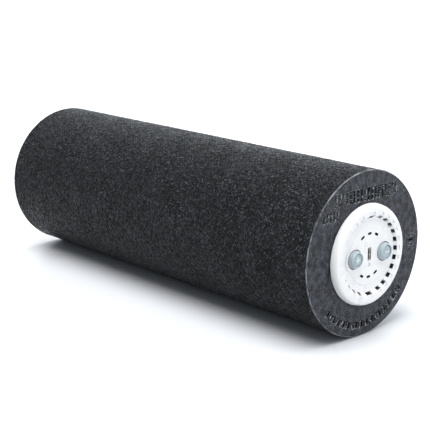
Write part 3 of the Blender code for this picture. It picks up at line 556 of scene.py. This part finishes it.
def press_side(points):
    """Presses the side in by up to 0.3 mm: slow waves, and the lumps of the beads under the skin."""
    x, y, z = points.T
    radius, angle = np.hypot(y, z), np.arctan2(z, y)
    short, long = WAVE_LENGTHS
    wave = np.sin(x / short + 2 * np.sin(3 * angle)) * np.sin(5 * angle + x / long)
    for place in np.flatnonzero(radius > FOAM_RADIUS - ON_SURFACE):
        lump = 0.5 + 0.5 * noise.fractal(Vector(points[place]) / BEAD, 0.6, 2.0, 3)
        sink = WAVE_DEPTH * (1 + wave[place]) + LUMP_DEPTH * min(1.0, max(0.0, lump))
        points[place, 1:] *= 1 - sink / FOAM_RADIUS


def make_foam():
    """Foam cylinder: rounded edges, a near end that carries the relief, and a bored middle."""
    mesh = turned_mesh("foam_roll", foam_profile(), FOAM_STEPS, (FAR, 0, 0), FOAM_TURN)
    points = np.empty(len(mesh.vertices) * 3)
    mesh.vertices.foreach_get("co", points)
    points = points.reshape(-1, 3)
    on_end = points[:, 0] > NEAR - ON_SURFACE
    points[on_end, 0] -= groove_depth(points)[on_end]
    press_side(points)
    mesh.vertices.foreach_set("co", points.ravel())
    foam = link("foam_roll", mesh, smooth_angle=40)
    finish_piece(foam, "sleeve", "foam_sleeve", "foam", FOAM_SIDE, FOAM_END, FOAM_CORNER)
    # The rounded outer corners get foam_corner, a painted highlight; the ends get foam_end.
    for face in mesh.polygons:
        from_axis, facing_end = math.hypot(face.center.y, face.center.z), abs(face.normal.x)
        on_corner = from_axis > FOAM_RADIUS - EDGE and 0.35 < facing_end < 0.95
        face.material_index = 2 if on_corner else int(facing_end > 0.6)


# ---------------------------------------------------------------- the control head

HEAD_STEPS = 208
DECK, PLATE_BACK = 3.1 * MM, 1.4 * MM
# A shallow moat lies between the deck and the flank, and the buttons' island reaches into it
DECK_EDGE, MOAT_EDGE, MOAT_DEPTH = 17.6 * MM, 17.9 * MM, 0.25 * MM
LOBE_RADIUS, LOBE_REACH = 7.6 * MM, 128  # each lobe's arc goes this many degrees either way
FLANK_FOOT, FLANK_TOP = 22.6 * MM, 23.65 * MM
RIM, RIM_INNER, RIM_OUTER = HEAD_HIGH[0] - NEAR, 24.8 * MM, 27.6 * MM
FLANGE_LIFT = 0.30 * MM
SLEEVE_DEPTH, SLEEVE_OUTER, SLEEVE_INNER = 8.0 * MM, 26.4 * MM, 25.3 * MM
VENT_MIDDLE, VENT_REACH = 23.10 * MM, 1.50 * MM
VENT_WIDTH, VENT_WIDE = 3.0 * MM, 5.0 * MM
VENT_PITCH = math.radians(13.85)
VENTS_EACH_WAY = 5
SLOT_RADIUS, SLOT_SIZE = 13.0 * MM, (1.5 * MM, 3.2 * MM)
SLOT_ANGLES = (62, 90, 118, -62, -90, -118)
BUTTON_HOLE, LIGHT_HOLE, PORT_HOLE = 5.9 * MM, 0.95 * MM, (2.9 * MM, 7.8 * MM)
# Height of the white outer skin at each distance from the axis. What lies deeper is painted black as
# shade, out to the skin's edge, except the vents' own side walls.
SKIN_RADII = (DECK_EDGE, MOAT_EDGE, FLANK_FOOT, FLANK_TOP)
SKIN_HEIGHTS = (DECK, DECK - MOAT_DEPTH, DECK - MOAT_DEPTH, RIM - 0.20 * MM)
SKIN_DEPTH, SKIN_EDGE = 0.5 * MM, 25.9 * MM
VENT_INSIDE = 22.0 * MM
CUT_TOP = NEAR + 7 * MM  # above everything on the head


def head_profile():
    """White dish: a flat deck, a moat, a steep flank, a domed rim, and a sleeve behind it."""
    moat, plate_edge = DECK - MOAT_DEPTH, 22.7 * MM
    return [
        (DECK, 0),
        (DECK, DECK_EDGE, 0.1 * MM),
        (moat, MOAT_EDGE, 0.1 * MM),
        (moat, FLANK_FOOT, 0.3 * MM),
        (RIM - 0.20 * MM, FLANK_TOP, 0.35 * MM),
        (RIM, RIM_INNER, 1.2 * MM),
        (RIM, RIM_OUTER, 1.2 * MM),
        (RIM - 0.35 * MM, 29.4 * MM, 0.9 * MM),
        (2.0 * MM, 30.3 * MM, 1.2 * MM),
        (FLANGE_LIFT + 0.02 * MM, HEAD_HIGH[2], 0.15 * MM),
        (FLANGE_LIFT, SLEEVE_OUTER, 0.2 * MM),
        (-SLEEVE_DEPTH, SLEEVE_OUTER, 0.2 * MM),
        (-SLEEVE_DEPTH, SLEEVE_INNER, 0.2 * MM),
        (3.0 * MM, SLEEVE_INNER, 0.2 * MM),
        (PLATE_BACK, plate_edge, 0.2 * MM),
        (PLATE_BACK, 0),
    ]


def add_island(shape):
    """The slightly raised ground of both buttons: two round lobes with a waist between them."""
    outline = arc((BUTTON_SPREAD, 0), LOBE_RADIUS, -LOBE_REACH, LOBE_REACH, 40)
    outline += arc((-BUTTON_SPREAD, 0), LOBE_RADIUS, 180 - LOBE_REACH, 180 + LOBE_REACH, 40)
    outline = soften(outline, 0.5 * MM, 2, closed=True)
    add_prism(shape, outline, NEAR + 2 * MM, NEAR + DECK + 0.2 * MM)


def vent_places():
    """(angle, width) of every opening in the flank: wide ones at top and bottom, rows at the sides."""
    places = [(math.pi / 2, VENT_WIDE), (-math.pi / 2, VENT_WIDE)]
    for level in (0, math.pi):
        for step in range(-VENTS_EACH_WAY, VENTS_EACH_WAY + 1):
            places.append((level + step * VENT_PITCH, VENT_WIDTH))
    return places


def add_vents(shape):
    """Openings that go right through the flank."""
    for angle, width in vent_places():
        outline = rounded_box((VENT_MIDDLE, 0), (VENT_REACH, width), 0.2 * MM)
        add_prism(shape, outline, NEAR + 1.0 * MM, CUT_TOP, angle)


def add_rim_notches(shape):
    """A shallow notch in the rim beside each vent."""
    for angle, width in vent_places():
        outline = rounded_box((RIM_INNER, 0), (2.6 * MM, width - 0.1 * MM), 0.3 * MM)
        add_prism(shape, outline, NEAR + RIM - 0.45 * MM, CUT_TOP, angle)


def add_deck_openings(shape):
    """Openings for the buttons, the charging slit and its light, and the six slots."""
    low, high = NEAR + 0.5 * MM, NEAR + 6 * MM
    for side in (1, -1):
        add_prism(shape, circle((side * BUTTON_SPREAD, 0), BUTTON_HOLE, 64), low, high)
    add_prism(shape, rounded_box((0, PORT_RISE), PORT_HOLE, 0.9 * MM, 6), low, high)
    add_prism(shape, circle((0, LIGHT_RISE), LIGHT_HOLE, 24), low, high)
    for angle in SLOT_ANGLES:
        outline = rounded_box((SLOT_RADIUS, 0), SLOT_SIZE, 0.7 * MM, 5)
        add_prism(shape, outline, low, high, math.radians(angle))


def gets_painted_shade(face):
    """Whether a face of the head lies below its white skin, and isn't a side wall of a vent: such a face
    is painted black as shade.
    """
    middle, normal = face.center, face.normal
    from_axis = math.hypot(middle.y, middle.z)
    skin = np.interp(from_axis, SKIN_RADII, SKIN_HEIGHTS)
    buried = skin - (middle.x - NEAR) > SKIN_DEPTH
    across = abs(normal.y * middle.z - normal.z * middle.y) > 0.7 * from_axis
    return buried and from_axis < SKIN_EDGE and not (across and from_axis > VENT_INSIDE)


def make_head():
    """The head's cover: the dish, the island, and its openings, painted black inside as shade."""
    head = turned("vented_head", soften(head_profile(), 0.2 * MM, 4), HEAD_STEPS, (NEAR, 0, 0))
    cuts = [("DIFFERENCE", add) for add in (add_vents, add_rim_notches, add_deck_openings)]
    combine(head, [("UNION", add_island), *cuts])
    # The black here is painted shade inside the openings and under the skin.
    finish_piece(head, "core", "head_cover", "white_plastic", WHITE, BLACK)
    for face in head.data.polygons:
        face.material_index = int(gets_painted_shade(face))


BUTTON_RADIUS, COLLAR_RADIUS = 5.45 * MM, 6.9 * MM
FACE_RADIUS, GROOVE_RADIUS, MARK_RADIUS = 3.5 * MM, 3.95 * MM, 2.4 * MM
FACE_DEPTH, GROOVE_DEPTH = 0.5 * MM, 0.35 * MM
STEM_RADIUS, STEM_DEPTH = 1.8 * MM, 2.2 * MM
MARK_LENGTH, MARK_WIDTH = 3.6 * MM, 0.9 * MM


def button_profile():
    """A sunk face, a groove around it, a raised rim, a stepped side, a collar and a stem."""
    face, groove = PROUD - FACE_DEPTH, PROUD - FACE_DEPTH - GROOVE_DEPTH
    return [
        (face, 0),
        (face, FACE_RADIUS, 0.15 * MM),
        (groove, FACE_RADIUS + 0.1 * MM, 0.1 * MM),
        (groove, GROOVE_RADIUS - 0.1 * MM, 0.1 * MM),
        (PROUD, GROOVE_RADIUS + 0.1 * MM, 0.3 * MM),
        (PROUD, 4.5 * MM, 0.3 * MM),
        (PROUD - 0.55 * MM, 4.75 * MM, 0.4 * MM),
        (4.05 * MM, 4.80 * MM, 0.25 * MM),
        (3.95 * MM, BUTTON_RADIUS - 0.15 * MM, 0.3 * MM),
        (3.2 * MM, BUTTON_RADIUS, 0.2 * MM),
        (0.9 * MM, BUTTON_RADIUS, 0.2 * MM),
        (0.6 * MM, COLLAR_RADIUS, 0.2 * MM),
        (-0.4 * MM, COLLAR_RADIUS, 0.2 * MM),
        (-0.4 * MM, STEM_RADIUS, 0.2 * MM),
        (-STEM_DEPTH, STEM_RADIUS, 0.2 * MM),
        (-STEM_DEPTH, 0),
    ]


def paint_button(button, centre):
    """The mark is pale, and the groove and the lower side get a darker copy of the silicone as painted
    shade.
    """
    for face in button.data.polygons:
        from_middle = math.hypot(face.center.y - centre, face.center.z)
        height = face.center.x - NEAR
        in_groove = FACE_RADIUS < from_middle < GROOVE_RADIUS and height < PROUD - 0.2 * MM
        on_mark = from_middle < MARK_RADIUS and height > PROUD - FACE_DEPTH + 0.05 * MM
        face.material_index = 2 if on_mark else int(in_groove or height < 2.6 * MM)


def make_buttons():
    """Silicone buttons with a plain bar or cross on the face."""
    low, high = NEAR + PROUD - 1.2 * MM, NEAR + PROUD - 0.12 * MM
    for name, body, node, side in (
        ("plus_cap", "plus_key", "plus_button", -1),
        ("minus_cap", "minus_key", "minus_button", 1),
    ):
        centre = side * BUTTON_SPREAD
        button = turned(name, soften(button_profile(), 0.2 * MM, 4), 96, (NEAR, centre, 0))

        def bar(shape):
            add_prism(shape, rounded_box((centre, 0), (MARK_LENGTH, MARK_WIDTH), 0.3 * MM), low, high)

        def upright(shape):
            outline = rounded_box((centre, 0), (MARK_WIDTH, MARK_LENGTH), 0.3 * MM)
            add_prism(shape, outline, low, high - 0.01 * MM)

        marks = [("UNION", bar)]
        if node == "plus_button":
            marks.append(("UNION", upright))
        combine(button, marks)
        finish_piece(button, body, node, "button_silicone", BUTTON, BUTTON_PAINTED_SHADE, BUTTON_MARK)
        paint_button(button, centre)


def make_port():
    """Folded nickel socket with a flared mouth."""
    low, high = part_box("port_shell")
    width, height = high[1] - low[1], high[2] - low[2]
    wall, flare, corner = 0.25 * MM, 0.35 * MM, 0.8 * MM
    inner = (width - 2 * wall, height - 2 * wall)
    mouth = (width - 0.1 * MM, height - 0.1 * MM)
    shape = bmesh.new()
    rings = []
    for x, size in (
        (low[0], (width, height)),
        (high[0], (width, height)),
        (high[0], mouth),
        (high[0] - flare, inner),
        (low[0], inner),
    ):
        outline = rounded_box((0, PORT_RISE), size, corner, 6)
        rings.append([shape.verts.new((x, y, z)) for y, z in outline])
    for upper, lower in zip(rings, rings[1:] + rings[:1]):
        for i in range(len(upper)):
            j = (i + 1) % len(upper)
            shape.faces.new((upper[i], upper[j], lower[j], lower[i]))
    bmesh.ops.recalc_face_normals(shape, faces=shape.faces)
    socket = link("port_socket", plain_mesh("port_socket", shape))
    finish_piece(socket, "core", "port_shell", "nickel", NICKEL)


# ---------------------------------------------------------------- the core's casing

CASE_STEPS = 144
CASE_RADIUS, CASE_WALL = 26.4 * MM, 2.0 * MM
GROOVE = 0.8 * MM
SPLIT = 0.15 * MM  # from the middle plane to either half
POST, BORE, WELL = 3.2 * MM, 1.4 * MM, 2.7 * MM  # radii of a screw's post, hole and head's well
BEYOND = 0.2  # past either end of the roller
GRIP_RINGS = ("grip_ring_front", "grip_ring_middle", "grip_ring_rear")


def ring_spans():
    """(far x, near x) of each grip ring's groove."""
    return [(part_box(n)[0][0] - 0.3 * MM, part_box(n)[1][0] + 0.3 * MM) for n in GRIP_RINGS]


def screw_nodes(prefix=""):
    """Names of the screws' nodes that start with the prefix."""
    return [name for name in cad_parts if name.startswith(prefix) and "_screw_" in name]


def screw_middle(name):
    """The middle of a screw's box."""
    return (Vector(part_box(name)[0]) + Vector(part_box(name)[1])) / 2


def case_profile(far, near):
    """Wall of the casing between two places along X, with a groove for each band and fine turned
    rings beside it that show where the bands sit."""
    outline = [(near, CASE_RADIUS, 0.4 * MM)]
    floor = CASE_RADIUS - GROOVE
    for start, end in sorted(ring_spans(), reverse=True):
        outline += [(end, CASE_RADIUS, 0.3 * MM), (end, floor, 0.15 * MM)]
        outline += [(start, floor, 0.15 * MM), (start, CASE_RADIUS, 0.3 * MM)]
        for turn in (1, 2, 3):
            x = start - (1.5 + 1.3 * turn) * MM
            outline += [
                (x, CASE_RADIUS, 0.1 * MM),
                (x - 0.25 * MM, CASE_RADIUS - 0.25 * MM, 0.1 * MM),
                (x - 0.5 * MM, CASE_RADIUS, 0.1 * MM),
            ]
    inner = CASE_RADIUS - CASE_WALL
    outline.append((far, CASE_RADIUS, 0.4 * MM))
    return outline + [(far, inner, 0.2 * MM), (near, inner, 0.2 * MM)]


def shell_screw_fittings(side):
    """A post and a hole for each shell screw, and in the lower half a well for its head."""
    screws = [screw_middle(screw).x for screw in screw_nodes("shell_screw")]
    lower = side < 0

    def posts(shape):
        for x in screws:
            add_rod(shape, (x, 0, side * SPLIT), (x, 0, side * 25 * MM), POST)

    def bores(shape):
        start, end = (-24 * MM, 2 * MM) if lower else (-2 * MM, 12 * MM)
        for x in screws:
            add_rod(shape, (x, 0, start), (x, 0, end), BORE)

    def wells(shape):
        for x in screws:
            add_rod(shape, (x, 0, -30 * MM), (x, 0, -20 * MM), WELL)

    fittings = [("UNION", posts), ("DIFFERENCE", bores)]
    return [*fittings, ("DIFFERENCE", wells)] if lower else fittings


def make_case_half(node, name, side):
    """One half of the casing, cut from the whole tube, with a shadow line at the split."""
    low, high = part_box(node)
    profile = soften(case_profile(low[0], high[0]), 0.2 * MM, 3, closed=True)
    case = turned(name, profile, CASE_STEPS)

    def other_half(shape):
        block = 60 * MM
        outline = rounded_box((0, side * (SPLIT - block / 2)), (2 * block, block), 0)
        add_prism(shape, outline, -BEYOND, BEYOND)

    def shadow_line(shape):
        for y in (CASE_RADIUS, -CASE_RADIUS):
            outline = rounded_box((y, side * SPLIT), (0.8 * MM, 0.9 * MM), 0.1 * MM)
            add_prism(shape, outline, -BEYOND, BEYOND)

    cuts = [("DIFFERENCE", other_half), ("DIFFERENCE", shadow_line)]
    combine(case, cuts + shell_screw_fittings(side))
    finish_piece(case, "core", node, "white_plastic", CASE_WHITE)


def make_tail():
    """Closing plug with a dished face, a raised finger bar and two screw wells."""
    face, lip = TAIL_LOW[0], TAIL_HIGH[0]
    seat, spigot, wall, dish = face + 3.2 * MM, 24.1 * MM, 1.5 * MM, 0.7 * MM
    back = seat - 0.6 * MM
    profile = [
        (back, 0),
        (back, spigot - wall, 0.3 * MM),
        (lip, spigot - wall, 0.2 * MM),
        (lip, spigot, 0.2 * MM),
        (seat, spigot, 0.1 * MM),
        (seat, CASE_RADIUS, 0.3 * MM),
        (face, CASE_RADIUS, 0.9 * MM),
        (face, 18.2 * MM, 0.3 * MM),
        (face + dish, 17.2 * MM, 0.6 * MM),
        (face + dish, 0),
    ]
    tail = turned("tail_plug", soften(profile, 0.2 * MM, 4), CASE_STEPS)

    def finger_bar(shape):
        outline = rounded_box((0, 0), (26 * MM, 5 * MM), 2.4 * MM, 8)
        add_prism(shape, outline, face + 0.1 * MM, face + dish + 0.1 * MM)

    def wells(shape):
        for screw in screw_nodes("tail_screw"):
            z = screw_middle(screw).z
            add_rod(shape, (face - 1 * MM, 0, z), (face + 1.9 * MM, 0, z), WELL)
            add_rod(shape, (face - 1 * MM, 0, z), (lip + 1 * MM, 0, z), BORE)

    combine(tail, [("UNION", finger_bar), ("DIFFERENCE", wells)])
    finish_piece(tail, "core", "tail_cap", "white_plastic", CASE_WHITE)


def make_bands():
    """Grip bands with three soft ribs each."""
    ribs, rib_height, rib_slope = 3, 0.45 * MM, 0.35 * MM
    for node in GRIP_RINGS:
        low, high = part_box(node)
        outer, inner, width = high[2], CASE_RADIUS - GROOVE + 0.3 * MM, high[0] - low[0]
        base = outer - rib_height
        profile = [(0, inner, 0.1 * MM), (0, base, 0.2 * MM)]
        for rib in range(ribs):
            start, end = width * (rib + 0.18) / ribs, width * (rib + 0.82) / ribs
            profile += [(start, base, 0.15 * MM), (start + rib_slope, outer, 0.3 * MM)]
            profile += [(end - rib_slope, outer, 0.3 * MM), (end, base, 0.15 * MM)]
        profile += [(width, base, 0.2 * MM), (width, inner, 0.1 * MM)]
        profile = soften(profile, 0.1 * MM, 3, closed=True)
        band = turned(node + "_ribbed", profile, CASE_STEPS, (low[0], 0, 0))
        finish_piece(band, "core", node, "grip_silicone", BAND)


SCREW_CAP, THREAD_PITCH, THREAD_DEPTH = 1.6 * MM, 0.8 * MM, 0.22 * MM


def screw_profile(head, length):
    """A pan head of the given radius, and a shank with a rolled thread."""
    shank, tip = head * 0.44, length - head * 0.28
    profile = [(0, 0), (0, head * 0.7, 0.1 * MM), (SCREW_CAP * 0.4, head, 0.5 * MM)]
    profile += [(SCREW_CAP, head, 0.1 * MM), (SCREW_CAP, shank)]
    turns = int((tip - SCREW_CAP - THREAD_PITCH) / THREAD_PITCH)
    for turn in range(1, turns + 1):
        start = SCREW_CAP + THREAD_PITCH * turn
        profile += [(start, shank), (start + THREAD_PITCH / 2, shank - THREAD_DEPTH)]
    return profile + [(tip, shank), (length, 0)]


def make_screws():
    """Screws with a hex socket. Every head is at its box's low end."""
    for node in screw_nodes():
        low, high = (Vector(corner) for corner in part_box(node))
        upright = node.startswith("shell")
        head = (high.y - low.y) / 2
        length = high.z - low.z if upright else high.x - low.x
        screw = turned(node + "_turned", soften(screw_profile(head, length), 0.05 * MM, 3), 40)

        def hex_socket(shape):
            add_prism(shape, circle((0, 0), head * 0.42, 6), -SCREW_CAP, SCREW_CAP * 0.6)

        combine(screw, [("DIFFERENCE", hex_socket)])
        start = screw_middle(node)
        if upright:
            start.z = low.z
            screw.data.transform(Matrix.Rotation(-math.pi / 2, 4, "Y"))
        else:
            start.x = low.x
        screw.data.transform(Matrix.Translation(start))
        finish_piece(screw, "core", node, "steel", ZINC)


# ---------------------------------------------------------------- pieces kept from the CAD model

KEPT = {
    "front_bulkhead": BLACK,
    "plus_switch": BLACK,
    "minus_switch": BLACK,
    "plus_switch_plunger": CASE_WHITE,
    "minus_switch_plunger": CASE_WHITE,
    "port_tongue": BLACK,
    "port_contacts": GOLD,
    "charge_light": LENS,
    "battery_cell_left": WRAP,
    "battery_cell_right": WRAP,
    "battery_tray_upper": BLACK,
    "battery_tray_lower": BLACK,
    "cell_link": NICKEL,
    "cell_tab_left": NICKEL,
    "cell_tab_right": NICKEL,
    "battery_lead_red": RED,
    "motor_lead_red": RED,
    "battery_lead_black": LEAD_BLACK,
    "motor_lead_black": LEAD_BLACK,
    "control_board": BOARD,
    "motor_can": STEEL,
    "motor_end_cap": BLACK,
    "motor_mount_front": BLACK,
    "motor_mount_rear": BLACK,
    "motor_shaft": STEEL,
    "armature": LAMINATION,
    "commutator": COPPER,
    "bearing_front": BRASS,
    "bearing_rear": BRASS,
    "weight_front": BRASS,
    "weight_rear": BRASS,
    "magnet_left": FERRITE,
    "magnet_right": FERRITE,
}


def smooth_by_angle(limit):
    """A modifier group that shades faces smooth, except across edges sharper than the limit."""
    group = bpy.data.node_groups.new("smooth_by_angle", "GeometryNodeTree")
    for direction in ("INPUT", "OUTPUT"):
        group.interface.new_socket("Mesh", in_out=direction, socket_type="NodeSocketGeometry")
    start, end = group.nodes.new("NodeGroupInput"), group.nodes.new("NodeGroupOutput")
    angle = group.nodes.new("GeometryNodeInputMeshEdgeAngle")
    sharp = group.nodes.new("FunctionNodeCompare")
    sharp.operation = "GREATER_THAN"
    sharp.inputs[1].default_value = limit
    faces = group.nodes.new("GeometryNodeSetShadeSmooth")
    edges = group.nodes.new("GeometryNodeSetShadeSmooth")
    edges.domain = "EDGE"
    edges.inputs["Shade Smooth"].default_value = False
    group.links.new(angle.outputs[0], sharp.inputs[0])
    group.links.new(sharp.outputs[0], edges.inputs["Selection"])
    for source, target in ((start, faces), (faces, edges), (edges, end)):
        group.links.new(source.outputs[0], target.inputs[0])
    return group


def dress_kept_nodes():
    """A material and smooth shading for every node. Those that a new piece replaces are hidden, so
    any material does for them."""
    shading = smooth_by_angle(math.radians(SMOOTH_ANGLE))
    for name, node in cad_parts.items():
        for slot in node.material_slots:
            slot.material = KEPT.get(name, ZINC)
        node.modifiers.new("Smooth by angle", "NODES").node_group = shading


# ---------------------------------------------------------------- floor, lights and camera

FLOOR_REACH = 12  # metres from the middle to each side


def make_stage():
    """The floor, level with the foam's lowest line."""
    shape = bmesh.new()
    bmesh.ops.create_grid(shape, x_segments=2, y_segments=2, size=FLOOR_REACH)
    floor = bpy.data.objects.new("floor", plain_mesh("floor", shape))
    floor.location.z = FLOOR
    bpy.context.scene.collection.objects.link(floor)
    floor.data.materials.append(floor_white())


# Strength of the light from all around, and what the overhead, the rear and the head's end add
AROUND, OVERHEAD, BEHIND, HEAD_END = 0.38, 10.5, 1.02, 0.36
LEAN = math.radians(13)  # the overhead light's middle is this far off the vertical, to the front
OVERHEAD_EDGE, OVERHEAD_FULL = 0.86, 0.97  # cosines of the angles from its middle
SIDE_EDGE, SIDE_FULL = -0.2, 0.4  # where the rear's and the head end's light starts and is full
DIM_HUE, WHITE_STRENGTH = (0.86, 0.93, 1.0), 3.0  # dim parts are cool, parts this strong are white


def make_lights():
    """A soft white studio, in the world alone: bright overhead and a little to the front, weaker
    from behind and from the head's end, and cool and dim elsewhere. The camera sees it white."""
    world = bpy.data.worlds.new("studio")
    bpy.context.scene.world = world
    world.use_nodes = True
    tree = Tree(world.node_tree)
    sky = world.node_tree.nodes["Background"]
    direction = tree.add("ShaderNodeTexCoord").outputs["Generated"]
    x, y, z = tree.add("ShaderNodeSeparateXYZ", {0: direction}).outputs

    def ramp(value, start, end, rise):
        return tree.range(value, start, end, 0.0, rise, interpolation_type="SMOOTHSTEP")

    forward = tree.sum("MULTIPLY", y, math.sin(LEAN))
    leaning = tree.sum("SUBTRACT", tree.sum("MULTIPLY", z, math.cos(LEAN)), forward)
    glow = tree.sum("ADD", ramp(leaning, OVERHEAD_EDGE, OVERHEAD_FULL, OVERHEAD), AROUND)
    glow = tree.sum("ADD", glow, ramp(y, SIDE_EDGE, SIDE_FULL, BEHIND))
    glow = tree.sum("ADD", glow, ramp(x, SIDE_EDGE, SIDE_FULL, HEAD_END))
    seen = tree.add("ShaderNodeLightPath").outputs["Is Camera Ray"]
    white = tree.sum("MAXIMUM", ramp(glow, AROUND, WHITE_STRENGTH, 1.0), seen)
    hue = tree.add("ShaderNodeValToRGB", {"Fac": white})
    hue.color_ramp.elements[0].color = (*DIM_HUE, 1)
    tree.put(sky, "Color", hue.outputs["Color"])
    tree.put(sky, "Strength", tree.sum("MAXIMUM", glow, seen))
    bpy.context.scene.view_settings.view_transform = "Standard"


# The photograph's view
CAMERA_LENS, CAMERA_SENSOR = 95.0, 36
CAMERA_PLACE = (NEAR + 0.40545, -0.4919, 0.1897)
CAMERA_FORWARD = (-0.71127, 0.65521, -0.25460)


def make_camera():
    """Long lens, from the control head's side and a little above."""
    camera = bpy.data.objects.new("camera", bpy.data.cameras.new("camera"))
    camera.data.lens = CAMERA_LENS
    camera.data.sensor_width = CAMERA_SENSOR
    camera.location = CAMERA_PLACE
    camera.rotation_euler = Vector(CAMERA_FORWARD).to_track_quat("-Z", "Y").to_euler()
    bpy.context.scene.collection.objects.link(camera)
    bpy.context.scene.camera = camera


dress_kept_nodes()
make_foam()
make_head()
make_buttons()
make_port()
make_case_half("core_shell_upper", "case_upper", 1)
make_case_half("core_shell_lower", "case_lower", -1)
make_tail()
make_bands()
make_screws()
make_stage()
make_lights()
make_camera()
